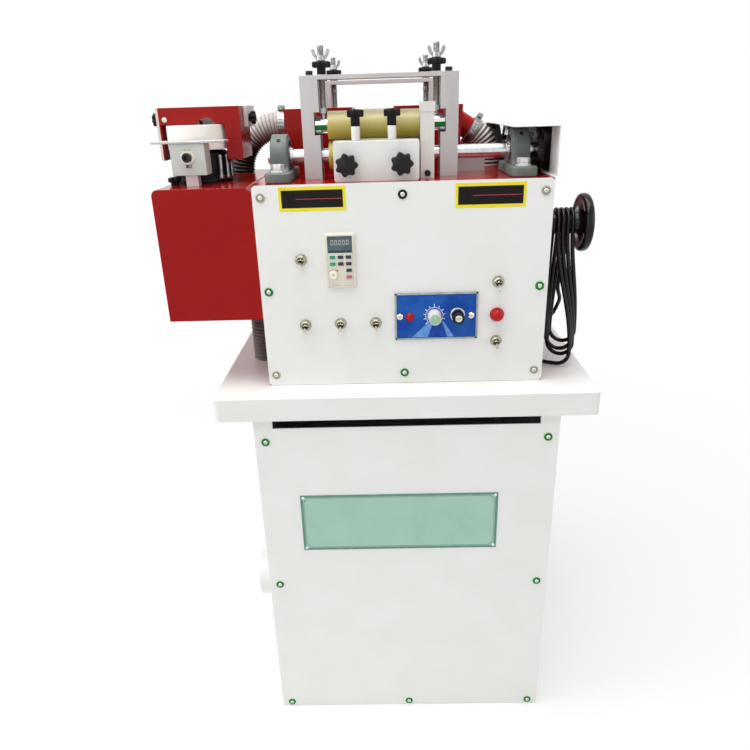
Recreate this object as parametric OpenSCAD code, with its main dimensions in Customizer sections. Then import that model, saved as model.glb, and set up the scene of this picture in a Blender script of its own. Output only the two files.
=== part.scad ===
// Leather edge polishing machine: cabinet, table, feed head and side polishing station.
// Millimetres, +Z up. Origin on the floor under the middle of the table. The front looks to -Y.

/* [Cabinet and table] */
// width of the table board
table_w = 590; // [570:5:640]
// depth of the table board
table_d = 520; // [500:5:580]
// thickness of the table board
table_t = 37; // [30:1:45]
// height of the table's top face
table_top = 640; // [600:5:700]
// corner radius of the table board
table_r = 8; // [2:1:20]
// width of the cabinet
cab_w = 476; // [460:2:500]
// depth of the cabinet shell
cab_d = 488; // [470:2:500]
// setback of the cabinet front from the table edge
cab_setback = 8; // [4:1:16]
// sheet thickness of shells and panels
sheet = 2; // [1.5:0.5:2.5]
// width of the vent notch under the table
slot_w = 416; // [380:4:430]
// height of the vent notch
slot_h = 16; // [10:1:20]
// outer diameter of the dust outlet stub
outlet_d = 76; // [70:1:80]
// length of the stub outside the wall
outlet_len = 27; // [20:1:40]
// position of the stub along the wall
outlet_y = -180; // [-185:5:-170]
// height of the stub's axis
outlet_z = 255; // [240:5:270]

/* [Head] */
// width of the head box
head_w = 430; // [426:1:440]
// depth of the head box
head_d = 412; // [405:1:430]
// height of the head box
head_h = 308; // [300:2:320]
// setback of the head panel from the table edge
head_setback = 54; // [45:1:60]
// thickness of the head box's top
top_t = 5; // [4:0.5:6]
// gap under the head panel
panel_lift = 0.5; // [0.3:0.1:3]

/* [Feed] */
// middle of the feed frames across the machine
feed_x = -30; // [-34:1:-28]
// setback of the front shaft from the head panel
shaft_setback = 84; // [82:1:90]
// distance between front and rear shaft
frame_pitch = 260; // [256:1:264]
// shaft diameter
shaft_d = 20; // [18:0.5:20]
// height of the shaft axis over the head box
axis_h = 33.3; // [33:0.1:35]
// roller diameter
roller_d = 40; // [36:1:41]
// roller length
roller_len = 154; // [140:1:155]
// gap between the rollers at rest
roller_gap = 1.7; // [1:0.1:3]
// post width
post_w = 26; // [24:1:28]
// post depth
post_d = 40; // [36:1:42]
// post height
post_h = 137; // [132:1:145]
// half of the space between posts
post_in = 88; // [87.5:0.5:90]
// thickness of the plate over the posts
plate_t = 6; // [5:0.5:8]
// stud distance from the frame's middle
stud_dx = 83; // [82:0.5:83.5]
// stud diameter
stud_d = 8; // [7:0.5:8]
// axle diameter of the upper rollers
axle_d = 12; // [10:0.5:13]
// lift of the upper rollers
lift_travel = 6; // [3:0.5:8]
// half distance of the pillow blocks
pillow_x = 176; // [174:1:178]
// how much further out the left pair of blocks stands
pillow_shift = 4; // [0:1:5]
// star knob diameter
knob_d = 28; // [24:1:30]

/* [Polishing] */
// middle of the strap's path
strap_x = -39; // [-41:1:-37]
// strap width at rest
strap_w = 44; // [40:1:48]
// polishing wheel diameter
wheel_d = 100; // [90:1:102]
// polishing wheel thickness
wheel_t = 36; // [30:1:40]
// place of the polishing wheels along the strap
wheel_y = 8; // [4:1:12]
// travel of the right wheel each way
wheel_travel = 10; // [4:1:11]
// height of the dust covers
cover_h = 99; // [94:1:105]
// width of the dust covers
cover_w = 109; // [108:0.5:112]
// lead screw's distance behind the head's front panel
screw_setback = 70; // [66:1:74]
// lead screw axis under the head box's top
screw_drop = 75; // [72:1:80]
// lead screw diameter
screw_d = 12; // [10:0.5:14]
// handwheel diameter
hand_d = 88; // [80:1:100]
// outer diameter of the suction hoses
hose_d = 46; // [44:0.5:47]

/* [Station] */
// width of the station box
station_w = 144; // [140:1:150]
// height of the station box
station_h = 196; // [180:2:210]
// depth of the station box
station_d = 296; // [280:2:310]
// diameter of the station wheel
st_wheel_d = 94; // [86:1:95]
// thickness of the station wheel
st_wheel_t = 35; // [30:1:36]
// hood width
hood_w = 122; // [120:1:124]
// hood height
hood_h = 75; // [72:1:78]
// guide travel down
guide_down = 6; // [2:0.5:7]
// guide travel up
guide_up = 10; // [4:0.5:12]

/* [Panel parts] */
// bushing diameter of the toggles
toggle_d = 11.6; // [10.5:0.1:11.8]
// lever length
lever_len = 17; // [14:0.5:18]
// lever angle from level at rest
lever_tilt = 20; // [14:1:22]
// keypad width
keypad_w = 45; // [42:0.5:48]
// keypad height
keypad_h = 81.5; // [78:0.5:84]
// controller width
ctrl_w = 126; // [124:1:132]
// controller height
ctrl_h = 74; // [70:1:76]

/* [Cord] */
// cord diameter
cord_d = 6.5; // [5.5:0.1:6.5]
// step of the loops along the hub
loop_step = 7.5; // [7.4:0.1:8]
// turn of the hank about the vertical toward its foot
hank_turn = 60; // [50:1:60]

/* [Hidden] */
$fn = 48;
fit = 0.05;
gap = 0.25;
clear = 0.5;
// least space between two pieces of one body that touch
seam = 0.02;
white = [0.90, 0.90, 0.88];
red = [0.62, 0.08, 0.09];
steel = [0.75, 0.75, 0.77];
dark = [0.10, 0.10, 0.11];
cast = [0.42, 0.47, 0.46];
amber = [0.75, 0.68, 0.30];
grey = [0.62, 0.62, 0.63];

table_bot = table_top - table_t;
table_y0 = -table_d / 2;
cab_y0 = table_y0 + cab_setback;
cab_y1 = cab_y0 + cab_d;
cab_x = cab_w / 2;
cab_border = 26;
head_x = head_w / 2;
head_face = table_y0 + head_setback;
head_y0 = head_face + sheet;
head_y1 = head_y0 + head_d;
head_top = table_top + head_h;
head_under = head_top - top_t;
head_border = 22;
front_y = head_face + shaft_setback;
rear_y = front_y + frame_pitch;
axis_z = head_top + axis_h;
upper_z = axis_z + roller_d + roller_gap;
post_top = head_top + post_h;
plate_top = post_top + plate_t;
housing_r = 12.5;
screw_z = head_top - screw_drop;
screw_y = head_face + screw_setback;
wheel_z = axis_z + roller_d / 2 + roller_gap / 2 - wheel_t / 2;
left_x = strap_x - strap_w / 2 - wheel_d / 2;
right_x = strap_x + strap_w / 2 + wheel_d / 2;
wheel_motor_r = 38;
wheel_motor_h = 122;
spindle_left = 38;
spindle_right = 50;
carriage_half = 43;
carriage_front = 78;
carriage_back = 48;
nut_drop = 31;

// chain drive, 18 teeth on 9.525 mm pitch
teeth = 18;
pitch = 9.525;
pitch_r = pitch / (2 * sin(180 / teeth));
chain_x = 204.5;
chain_h = 8;
chain_in = 3.2;
chain_out = 4.6;
motor_y = -16;
motor_z = head_top - 80;
chain_pts = [[front_y, axis_z], [rear_y, axis_z], [motor_y, motor_z]];

// screws of both panels
cab_screw_x = cab_x - 17;
cab_screws = [for (z = [10, 286, table_bot - 39], s = [-1, 1]) [s * cab_screw_x, z]];
cab_screws_all = concat(cab_screws, [[0, 10]]);
head_screw_x = head_x - 12;
head_screws = [for (z = [18, 153, head_h - 17], s = [-1, 1]) [s * head_screw_x, table_top + z]];
head_screws_all = concat(head_screws, [[0, table_top + 18], [0, head_top - 17]]);
screw_r = 2;

// panel parts, places on the head panel
toggles = [
    [-151, table_top + 201],
    [-151, table_top + 100],
    [-97, table_top + 101],
    [-43, table_top + 101],
    [141, table_top + 161],
    [141, table_top + 68],
];
keypad_x = -92.5;
keypad_z = table_top + 198.5;
keypad_out = 5;
dial_x = keypad_x - 11;
dial_z = keypad_z - 19.5;
ctrl_x = 49;
ctrl_z = table_top + 110;
ctrl_out = 3;
ctrl_knob_x = 46;
ctrl_knob_z = table_top + 111;
ctrl_knob_len = 22;
fuse_len = 22;
lamp_x = 141;
lamp_z = table_top + 110;

// cover nozzles and hoses
duct_y = wheel_y + 30;
hose_r = hose_d / 2;
nozzle_r = 18;
bore_r = 20;
hose_a_z = head_top + 74;
hose_a_x = -202;
cover_l = strap_x - 35;
cover_r = strap_x + 31;
cover_y0 = wheel_y - 58;
cover_y1 = wheel_y + 58;
cover_slant = 6;
tilt_b = 33;
hose_b_x = 128;
hose_b_z = head_top + 55;
hose_b_bend = 54;
hose_b_end = hose_b_x + hose_b_bend * (1 - sin(tilt_b));
hose_c_x = -head_x - hose_r - 2;
hose_c_y = -73;
pipe_r = 18;

// side station
st_x1 = -head_x;
st_x0 = st_x1 - station_w;
st_top = head_top - 2;
hose_a_foot = 3;
hose_a_bend = hose_a_z - st_top - hose_a_foot;
st_bot = st_top - station_h;
st_y0 = head_face;
st_y1 = st_y0 + station_d;
st_x = st_x1 - 96;
st_y = head_face + 116;
st_wheel_z = head_top + 46;
st_motor_r = 42;
st_motor_drop = 80;
hood_x0 = st_x - 51;
hood_x1 = hood_x0 + hood_w;
hood_y0 = st_y - 24;
hood_y1 = st_y + 52;
hood_z1 = st_wheel_z + 60;
hood_z0 = hood_z1 - hood_h;
hood_open = st_wheel_z + st_wheel_t + 1;
pivot_y = st_y + 20;
pivot_z = hood_z1 - 17;
arm_t = 6;
block_x = st_x + 4;
block_w = 50;
block_y0 = head_face + 28;
block_y1 = block_y0 + 31;
block_z0 = head_top + 14;
block_z1 = head_top + 58;
post_s_w = 18;
post_s_y = block_y0 + 8;
post_s_d = 15;
clamp_z = head_top + 39;

// handwheel and cord hank
hub_r = 16.5;
hand_x = head_x + 57;
hank_x = head_x + 33;
loop_r = hub_r + cord_d / 2 + 0.8;
hank_top = screw_z;
hank_foot = table_top + 2 + cord_d / 2 + loop_r;
hank_sway = 10;
foot_rise = [0, 33, 12, 24, 0];
ring_first = 2;
ring_last = 92;
gland_y = screw_y + 66;
gland_z = table_top + 50;
gland_len = 16;

module bar(x0, x1, y0, y1, z0, z1) {
    translate([x0, y0, z0])
        cube([x1 - x0, y1 - y0, z1 - z0]);
}

module rod_x(x0, x1, y, z, r) {
    translate([x0, y, z])
        rotate([0, 90, 0])
            cylinder(h = x1 - x0, r = r);
}

module rod_y(y0, y1, x, z, r) {
    translate([x, y0, z])
        rotate([-90, 0, 0])
            cylinder(h = y1 - y0, r = r);
}

module rod_z(z0, z1, x, y, r) {
    translate([x, y, z0])
        cylinder(h = z1 - z0, r = r);
}

// shape drawn in Y and Z, drawn out along X
module along_x(x0, x1) {
    translate([x0, 0, 0])
        rotate([90, 0, 90])
            linear_extrude(x1 - x0)
                children();
}

// shape drawn in X and Z, drawn out along Y
module along_y(y0, y1) {
    translate([0, y1, 0])
        rotate([90, 0, 0])
            linear_extrude(y1 - y0)
                children();
}

// flat outline with round corners
module round_plate(x0, x1, y0, y1, r) {
    translate([x0 + r, y0])
        square([x1 - x0 - 2 * r, y1 - y0]);
    translate([x0, y0 + r])
        square([x1 - x0, y1 - y0 - 2 * r]);
    for (x = [x0 + r, x1 - r], y = [y0 + r, y1 - r])
        translate([x, y])
            circle(r);
}

// star knob with seven lobes, standing on z = 0
module star(r, h, stem_r, stem_h) {
    cylinder(h = stem_h + h / 2, r = stem_r);
    translate([0, 0, stem_h])
        linear_extrude(h) {
            circle(r * 0.74);
            for (i = [0:6])
                rotate(i * 360 / 7)
                    translate([r * 0.72, 0])
                        circle(r * 0.28);
        }
}

// tube along points: rings of n sides, radius per ring, open bore where inner > 0
function unit(v) = v / norm(v);
function way(p, i) = unit(p[min(i + 1, len(p) - 1)] - p[max(i - 1, 0)]);
function level(v, t) = unit(v - (v * t) * t);
function sides(p, seed) = [
    for (i = 0, s = level(seed, way(p, 0)); i < len(p); s = level(s, way(p, i + 1)), i = i + 1) s
];
function ring(c, t, s, r, n) = [
    for (j = [0:n - 1]) c + r * (cos(360 * j / n) * s + sin(360 * j / n) * cross(t, s))
];
function skin(p, r, n, seed) = let (s = sides(p, seed)) [
    for (i = [0:len(p) - 1]) each ring(p[i], way(p, i), s[i], r[i], n)
];
function wall_faces(m, n, o) = [
    for (i = [0:m - 2], j = [0:n - 1]) each let (
        a = o + i * n + j,
        b = o + i * n + (j + 1) % n
    ) [[a, a + n, b + n], [a, b + n, b]]
];
function flip(f) = [for (t = f) [t[2], t[1], t[0]]];

module solid_tube(p, r, n, seed) {
    m = len(p);
    caps = [[for (j = [0:n - 1]) j], [for (j = [n - 1:-1:0]) (m - 1) * n + j]];
    polyhedron(skin(p, [for (q = p) r], n, seed), concat(wall_faces(m, n, 0), caps), convexity = 8);
}

module bored_tube(p, r_out, r_in, n, seed) {
    m = len(p);
    o = m * n;
    ends = [
        for (j = [0:n - 1]) each let (k = (j + 1) % n, e = (m - 1) * n) [
            [j, k, o + k],
            [j, o + k, o + j],
            [e + k, e + j, o + e + j],
            [e + k, o + e + j, o + e + k]
        ]
    ];
    pts = concat(skin(p, r_out, n, seed), skin(p, [for (q = p) r_in], n, seed));
    polyhedron(pts, concat(wall_faces(m, n, 0), flip(wall_faces(m, n, o)), ends), convexity = 8);
}

// hoses: straight, bend and straight again in a plane across the machine
rib_pitch = 6;
function arc_pts(c, r, a0, a1, y, k) = [
    for (i = [1:k]) let (a = a0 + (a1 - a0) * i / k) [c[0] + r * cos(a), y, c[1] + r * sin(a)]
];
function line_pts(a, b, k) = [for (i = [0:k]) a + (b - a) * i / k];
function rib_r(n) = [for (i = [0:n - 1]) (i % 2 == 0) ? hose_r : hose_r - 1.8];
hose_a_pts = concat(
    line_pts([hose_a_x + 14, duct_y, hose_a_z], [hose_a_x, duct_y, hose_a_z], 4),
    arc_pts([hose_a_x, st_top + hose_a_foot], hose_a_bend, 90, 180, duct_y, 40),
    line_pts([hose_a_x - hose_a_bend, duct_y, st_top + hose_a_foot - 1.5],
        [hose_a_x - hose_a_bend, duct_y, st_top], 2)
);
hose_b_dir = [cos(tilt_b), 0, -sin(tilt_b)];
hose_b_c = [hose_b_x - hose_b_bend * sin(tilt_b), hose_b_z - hose_b_bend * cos(tilt_b)];
hose_b_top = [hose_b_x, duct_y, hose_b_z];
hose_b_low = hose_b_c[1];
hose_b_pts = concat(
    line_pts(hose_b_top - 9 * hose_b_dir, hose_b_top, 3),
    arc_pts(hose_b_c, hose_b_bend, 90 - tilt_b, 0, duct_y, 18),
    line_pts([hose_b_end, duct_y, hose_b_low - 2], [hose_b_end, duct_y, head_top], 2)
);
hose_c_pts = line_pts([hose_c_x, hose_c_y, st_bot], [hose_c_x, hose_c_y, table_top], 36);

// cord: hank by formula, free stretches through hand-chosen points
function hank_v(k) = k < 4 ? loop_r : k < 12 ? loop_r * cos((k - 4) * 22.5)
    : k < 16 ? -loop_r : -loop_r * cos((k - 16) * 22.5);
function hank_z(k, foot) = k < 4 ? foot + (hank_top - foot) * k / 4
    : k < 12 ? hank_top + loop_r * sin((k - 4) * 22.5)
    : k < 16 ? hank_top - (hank_top - foot) * (k - 12) / 4
    : foot - loop_r * sin((k - 16) * 22.5);
function ease(s) = let (c = min(1, max(0, s))) c * c * (3 - 2 * c);
function hank_pt(q) = let (
    k = q % 24,
    u = loop_step * ((ring_first + ring_last) / 2 - q) / 24,
    v = hank_v(k),
    z = hank_z(k, hank_foot + foot_rise[floor((q + 12) / 24)]),
    e = ease((hank_top - z) / (hank_top - hank_foot)),
    a = hank_turn * e
) [hank_x + hank_sway * e + u * cos(a) - v * sin(a), screw_y + u * sin(a) + v * cos(a), z];
hank_pts = [for (q = [ring_first:ring_last]) hank_pt(q)];
hank_gap = min([
    for (i = [0:len(hank_pts) - 8], j = [i + 7:len(hank_pts) - 1]) norm(hank_pts[i] - hank_pts[j])
]) - cord_d;
echo(least_gap_between_loops = hank_gap);
hank_a = hank_pts[0];
hank_b = hank_pts[len(hank_pts) - 1];
lie_z = table_top + cord_d / 2 + 0.6;
gland_end = [head_x + gland_len, gland_y, gland_z];
lead_in = [
    gland_end + [-20, 0, 0],
    gland_end,
    [249, gland_y - 1, gland_z + 9],
    [260, gland_y - 6, gland_z + 22],
    [264, gland_y - 14, gland_z + 37],
    [263, gland_y - 28, gland_z + 53],
    hank_a,
    hank_pts[1]
];
plug_y = 130;
lead_out = [
    hank_pts[len(hank_pts) - 2],
    hank_b,
    [234, screw_y - 2, lie_z + 1],
    [223, screw_y + 14, lie_z],
    [220, screw_y + 36, lie_z],
    [221, screw_y + 96, lie_z],
    [230, 40, lie_z],
    [236, plug_y - 30, lie_z],
    [236, plug_y, lie_z + 3],
    [236, plug_y + 30, lie_z + 5]
];
function bend(p, i, t) = 0.5 * (2 * p[i] + (p[i + 1] - p[i - 1]) * t
    + (2 * p[i - 1] - 5 * p[i] + 4 * p[i + 1] - p[i + 2]) * t * t
    + (3 * p[i] - p[i - 1] - 3 * p[i + 1] + p[i + 2]) * t * t * t);
function smooth(p, n) = concat(
    [for (i = [1:len(p) - 3], j = [0:n - 1]) bend(p, i, j / n)],
    [p[len(p) - 2]]
);
// the leads end square on the hank's two ends
hank_last = hank_pts[len(hank_pts) - 2];
way_a = (hank_pts[1] - hank_a) / norm(hank_pts[1] - hank_a);
way_b = (hank_b - hank_last) / norm(hank_b - hank_last);
smooth_in = smooth(lead_in, 6);
smooth_out = smooth(lead_out, 6);
lead_in_pts = concat(
    [for (i = [0:len(smooth_in) - 2]) smooth_in[i]],
    [hank_a - 2 * way_a, hank_a - seam * way_a]
);
lead_out_pts = concat(
    [hank_b + seam * way_b, hank_b + 2 * way_b],
    [for (i = [1:len(smooth_out) - 1]) smooth_out[i]]
);

module cabinet_shell() {
    color(white)
        difference() {
            bar(-cab_x, cab_x, cab_y0, cab_y1, 0, table_bot);
            bar(-cab_x + sheet, cab_x - sheet, cab_y0 + sheet, cab_y1 - sheet, sheet, table_bot - sheet);
            bar(-cab_x + cab_border, cab_x - cab_border, cab_y0 - 1, cab_y0 + sheet + 1,
                cab_border, table_bot - slot_h);
            bar(-slot_w / 2, slot_w / 2, cab_y0 - 1, cab_y0 + sheet + 1, table_bot - slot_h - 1,
                table_bot - 4);
            bar(-cab_x + cab_border, cab_x - cab_border, cab_y0 + cab_border, cab_y1 - cab_border,
                table_bot - sheet - 1, table_bot + 1);
            rod_x(-cab_x - 1, -cab_x + sheet + 1, outlet_y, outlet_z, outlet_d / 2 + 0.2);
            for (p = cab_screws_all)
                rod_y(cab_y0 - 1, cab_y0 + sheet + 1, p[0], p[1], screw_r + 0.1);
        }
}

module cabinet_front_panel() {
    color(white)
        difference() {
            bar(-cab_x, cab_x, cab_y0 - sheet, cab_y0, 1, table_bot - 1);
            bar(-slot_w / 2, slot_w / 2, cab_y0 - sheet - 1, cab_y0 + 1, table_bot - slot_h, table_bot);
            for (p = cab_screws_all)
                rod_y(cab_y0 - sheet - 1, cab_y0 + 1, p[0], p[1], screw_r + 0.1);
        }
}

module table_top_board() {
    x = table_w / 2;
    y = table_d / 2;
    duct_in = -cab_x + sheet + 4;
    color(white)
        difference() {
            translate([0, 0, table_bot])
                linear_extrude(table_t)
                    round_plate(-x, x, -y, y, table_r);
            rod_z(table_top - 16, table_top + 1, hose_c_x, hose_c_y, pipe_r);
            bar(hose_c_x - pipe_r, duct_in + 40, hose_c_y - pipe_r, hose_c_y + pipe_r,
                table_bot + 9, table_top - 15);
            bar(duct_in + 20, duct_in + 40, hose_c_y - pipe_r, hose_c_y + pipe_r, table_bot - 1,
                table_bot + 10);
            rod_z(table_bot - 1, table_top + 1, hose_b_end, duct_y, pipe_r + 0.2);
        }
}

module dust_ducts() {
    color(white) {
        difference() {
            union() {
                rod_x(-cab_x - outlet_len, blower_x - 126, outlet_y, outlet_z, outlet_d / 2);
                rod_x(-cab_x - 3, -cab_x, outlet_y, outlet_z, outlet_d / 2 + 8);
            }
            rod_x(-cab_x - outlet_len - 1, blower_x - 120, outlet_y, outlet_z, outlet_d / 2 - 2.5);
        }
        difference() {
            rod_z(table_bot - 30, head_under, hose_b_end, duct_y, pipe_r);
            rod_z(table_bot - 31, head_under + 1, hose_b_end, duct_y, pipe_r - 2);
        }
    }
}

// blower: scroll with its axis along Y, duct to the outlet stub, motor behind, open eye in front
blower_x = -70;
blower_r = 105;
blower_z = outlet_z + blower_r - 40;
blower_y0 = outlet_y - 45;
blower_y1 = outlet_y + 45;
module dust_blower() {
    color(grey)
        difference() {
            union() {
                rod_y(blower_y0, blower_y1, blower_x, blower_z, blower_r);
                bar(blower_x - 130, blower_x, blower_y0, blower_y1, outlet_z - 40, outlet_z + 40);
                for (s = [-60, 30])
                    bar(blower_x + s, blower_x + s + 30, blower_y0 + 10, blower_y1 - 10, sheet,
                        outlet_z - 20);
                rod_y(blower_y1 - 1, blower_y1 + 64, blower_x, blower_z, 42);
            }
            rod_y(blower_y0 + 3, blower_y1 - 3, blower_x, blower_z, blower_r - 3);
            bar(blower_x - 127, blower_x, blower_y0 + 3, blower_y1 - 3, outlet_z - 37, outlet_z + 37);
            rod_x(blower_x - 131, blower_x - 126, outlet_y, outlet_z, outlet_d / 2 + 0.2);
            rod_y(blower_y0 - 1, blower_y0 + 4, blower_x, blower_z, 46);
            rod_y(blower_y1 - 4, blower_y1 + 40, blower_x, blower_z, 6 + fit);
        }
}

module blower_impeller() {
    color(steel) {
        rod_y(blower_y1 - 40, blower_y1 + 36, blower_x, blower_z, 6);
        rod_y(blower_y1 - 11, blower_y1 - 8, blower_x, blower_z, 80);
        for (i = [0:7])
            translate([blower_x, blower_y1 - 10, blower_z])
                rotate([0, i * 45, 0])
                    bar(30, 80, -55, 0, -1.5, 1.5);
    }
}

module head_box() {
    slot_x = wheel_travel + 8;
    rail_y0 = wheel_y - carriage_front - 0.3;
    rail_y1 = wheel_y + carriage_back + 0.3;
    rail_x = carriage_half + wheel_travel + 3;
    color(red) {
        difference() {
            bar(-head_x, head_x, head_y0, head_y1, table_top, head_top);
            bar(-head_x + sheet, head_x - sheet, head_y0 + sheet, head_y1 - sheet, table_top + sheet,
                head_under);
            bar(-head_x + head_border, head_x - head_border, head_y0 - 1, head_y0 + sheet + 1,
                table_top + head_border, head_under - 18);
            bar(-head_x + head_border, head_x - head_border, head_y0 + head_border, head_y1 - head_border,
                table_top - 1, table_top + sheet + 1);
            for (p = head_screws_all)
                rod_y(head_y0 - 1, head_y0 + sheet + 1, p[0], p[1], screw_r + 0.1);
            bar(chain_x - chain_out - 1.6, chain_x + chain_out + 1.6, front_y - 36, rear_y + 36,
                head_under - 1, head_top + 1);
            rod_z(head_under - 1, head_top + 1, left_x, wheel_y, 8);
            bar(right_x - slot_x, right_x + slot_x, wheel_y - 8, wheel_y + 8, head_under - 1, head_top + 1);
            rod_z(head_under - 1, head_top + 1, hose_b_end, duct_y, pipe_r - 2);
            rod_x(head_x - sheet - 1, head_x + 1, screw_y, screw_z, screw_d / 2 + 1);
            rod_x(head_x - sheet - 1, head_x + 1, gland_y, gland_z, 8.2);
        }
        // rails of the carriage, screw bracket and screw bush, welded in
        bar(right_x - rail_x, right_x + rail_x, rail_y0 - 12, rail_y0, head_under - 18, head_under + 0.5);
        bar(right_x - rail_x, right_x + rail_x, rail_y0 - 4, rail_y0 + 8, head_under - 18, head_under - 12.3);
        bar(right_x - rail_x, right_x + rail_x, rail_y1, rail_y1 + 12, head_under - 18, head_under + 0.5);
        bar(right_x - rail_x, right_x + rail_x, rail_y1 - 8, rail_y1 + 4, head_under - 18, head_under - 12.3);
        difference() {
            bar(right_x - rail_x + 8, right_x - rail_x + 20, screw_y - 14, screw_y + 14,
                screw_z - 15, head_under + 0.5);
            rod_x(right_x - rail_x, right_x - rail_x + 21, screw_y, screw_z, screw_d / 2 + fit);
        }
        difference() {
            rod_x(head_x - sheet - 12, head_x - sheet + 0.5, screw_y, screw_z, 14);
            rod_x(head_x - sheet - 13, head_x, screw_y, screw_z, screw_d / 2 + fit);
        }
    }
}

module head_front_panel() {
    r = 6;
    color(white)
        difference() {
            along_y(head_face, head_y0)
                round_plate(-head_x, head_x, table_top + panel_lift, head_top, r);
            for (p = head_screws_all)
                rod_y(head_face - 1, head_y0 + 1, p[0], p[1], screw_r + 0.1);
            for (p = toggles)
                rod_y(head_face - 1, head_y0 + 1, p[0], p[1], toggle_d / 2 + 0.2);
            bar(keypad_x - keypad_w / 2 + 4.8, keypad_x + keypad_w / 2 - 4.8, head_face - 1, head_y0 + 1,
                keypad_z - keypad_h / 2 + 4.8, keypad_z + keypad_h / 2 - 4.8);
            bar(ctrl_x - ctrl_w / 2 + 9.8, ctrl_x + ctrl_w / 2 - 9.8, head_face - 1, head_y0 + 1,
                ctrl_z - ctrl_h / 2 + 7.8, ctrl_z + ctrl_h / 2 - 7.8);
            rod_y(head_face - 1, head_y0 + 1, lamp_x, lamp_z, 8.2);
        }
}

module panel_screws() {
    color(steel) {
        for (p = cab_screws_all) {
            rod_y(cab_y0 - sheet - 2.4, cab_y0 - sheet, p[0], p[1], 6.5);
            rod_y(cab_y0 - sheet - 1, cab_y0 + 6, p[0], p[1], screw_r);
        }
        for (p = head_screws_all) {
            rod_y(head_face - 2.4, head_face, p[0], p[1], 6.5);
            rod_y(head_face - 1, head_y0 + 6, p[0], p[1], screw_r);
        }
    }
}

pivot_out = 5;
pin_r = 1.2;
module toggle_bodies() {
    color(steel)
        for (p = toggles)
            difference() {
                union() {
                    bar(p[0] - 7, p[0] + 7, head_y0, head_y0 + 22, p[1] - 12, p[1] + 12);
                    rod_y(head_face - 8, head_y0 + 1, p[0], p[1], toggle_d / 2);
                    translate([p[0], head_face - 3, p[1]])
                        rotate([-90, 0, 0])
                            cylinder(h = 3, r = 8, $fn = 6);
                }
                rod_y(head_face - 9, head_y0 + 6, p[0], p[1], 4);
                rod_x(p[0] - toggle_d, p[0] + toggle_d, head_face - pivot_out, p[1], pin_r + fit);
            }
}

module toggle_lever(n) {
    p = toggles[n - 1];
    color(steel)
        translate([p[0], head_face - pivot_out, p[1]]) {
            sphere(4 - fit);
            rod_x(-toggle_d / 2 + 0.5, toggle_d / 2 - 0.5, 0, 0, pin_r);
            rotate([lever_tilt, 0, 0])
                union() {
                    rod_y(-lever_len, 0, 0, 0, 1.6);
                    rod_y(-lever_len, -lever_len + 6, 0, 0, 2.3);
                }
        }
}

module keypad_case() {
    w = keypad_w / 2;
    h = keypad_h / 2;
    f = head_face - keypad_out;
    color([0.80, 0.78, 0.70])
        difference() {
            union() {
                bar(keypad_x - w, keypad_x + w, f, head_face, keypad_z - h, keypad_z + h);
                bar(keypad_x - w + 5, keypad_x + w - 5, head_face - 1, head_face + 26,
                    keypad_z - h + 5, keypad_z + h - 5);
                for (c = [-1:1], k = [0:3])
                    if (k < 2 || c == 1)
                        bar(keypad_x + c * 11 - 3.8, keypad_x + c * 11 + 3.8, f - 0.8, f + 1,
                            keypad_z + 7 - k * 9.8 - 2.4, keypad_z + 7 - k * 9.8 + 2.4);
            }
            bar(keypad_x - 18, keypad_x + 18, f - 1, f + 1, keypad_z + 12.5, keypad_z + 36.5);
            rod_y(f - 1, f + 8, dial_x, dial_z, 2 + fit);
        }
}

module keypad_dial() {
    f = head_face - keypad_out;
    color(white) {
        rod_y(f - 6, f - gap, dial_x, dial_z, 6);
        rod_y(f - 1, f + 7, dial_x, dial_z, 2);
    }
}

module controller_case() {
    w = ctrl_w / 2;
    h = ctrl_h / 2;
    f = head_face - ctrl_out;
    color([0.10, 0.22, 0.60])
        difference() {
            union() {
                bar(ctrl_x - w, ctrl_x + w, f, head_face, ctrl_z - h, ctrl_z + h);
                bar(ctrl_x - w + 10, ctrl_x + w - 10, head_face - 1, head_face + 40, ctrl_z - h + 8,
                    ctrl_z + h - 8);
                rod_y(f - fuse_len, f - seam, ctrl_x + 32, ctrl_z + 2, 9.8);
            }
            rod_y(f - 1, f + 10, ctrl_knob_x, ctrl_knob_z, 3 + fit);
        }
}

module controller_knob() {
    f = head_face - ctrl_out;
    color(grey) {
        rod_y(f - ctrl_knob_len, f - gap, ctrl_knob_x, ctrl_knob_z, 11);
        rod_y(f - 1, f + 9, ctrl_knob_x, ctrl_knob_z, 3);
    }
}

module lamp_lenses() {
    f = head_face - ctrl_out;
    color([0.8, 0.05, 0.05]) {
        rod_y(f - 4, f, ctrl_x - 40, ctrl_z, 6.5);
        rod_y(head_face - 6, head_face, lamp_x, lamp_z, 10.5);
        rod_y(head_face - 1, head_y0 + 10, lamp_x, lamp_z, 8);
        translate([lamp_x, head_face - 6, lamp_z])
            sphere(9.5);
    }
}

module pillow_blocks() {
    color(cast)
        for (s = [-1, 1], y = [front_y, rear_y])
            translate([s > 0 ? pillow_x : -pillow_x - pillow_shift, y, head_top])
                difference() {
                    union() {
                        linear_extrude(14)
                            round_plate(-19, 19, -63.5, 63.5, 9);
                        along_x(-12, 12) {
                            translate([0, axis_h])
                                circle(31.7);
                            polygon([[-31.7, axis_h], [-31.7, 22], [-33, 18.2], [-35.5, 15.2], [-39, 13.8],
                                [-39, 6], [39, 6], [39, 13.8], [35.5, 15.2], [33, 18.2], [31.7, 22],
                                [31.7, axis_h]]);
                        }
                        rod_x(-13.8, 13.8, 0, axis_h, 26.5);
                        rod_x(-15.5, 15.5, 0, axis_h, 15);
                    }
                    rod_x(-17, 17, 0, axis_h, shaft_d / 2 + fit);
                    for (a = [-1, 1])
                        rod_z(-1, 15, 0, a * 47.5, 6.5);
                }
}

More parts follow.
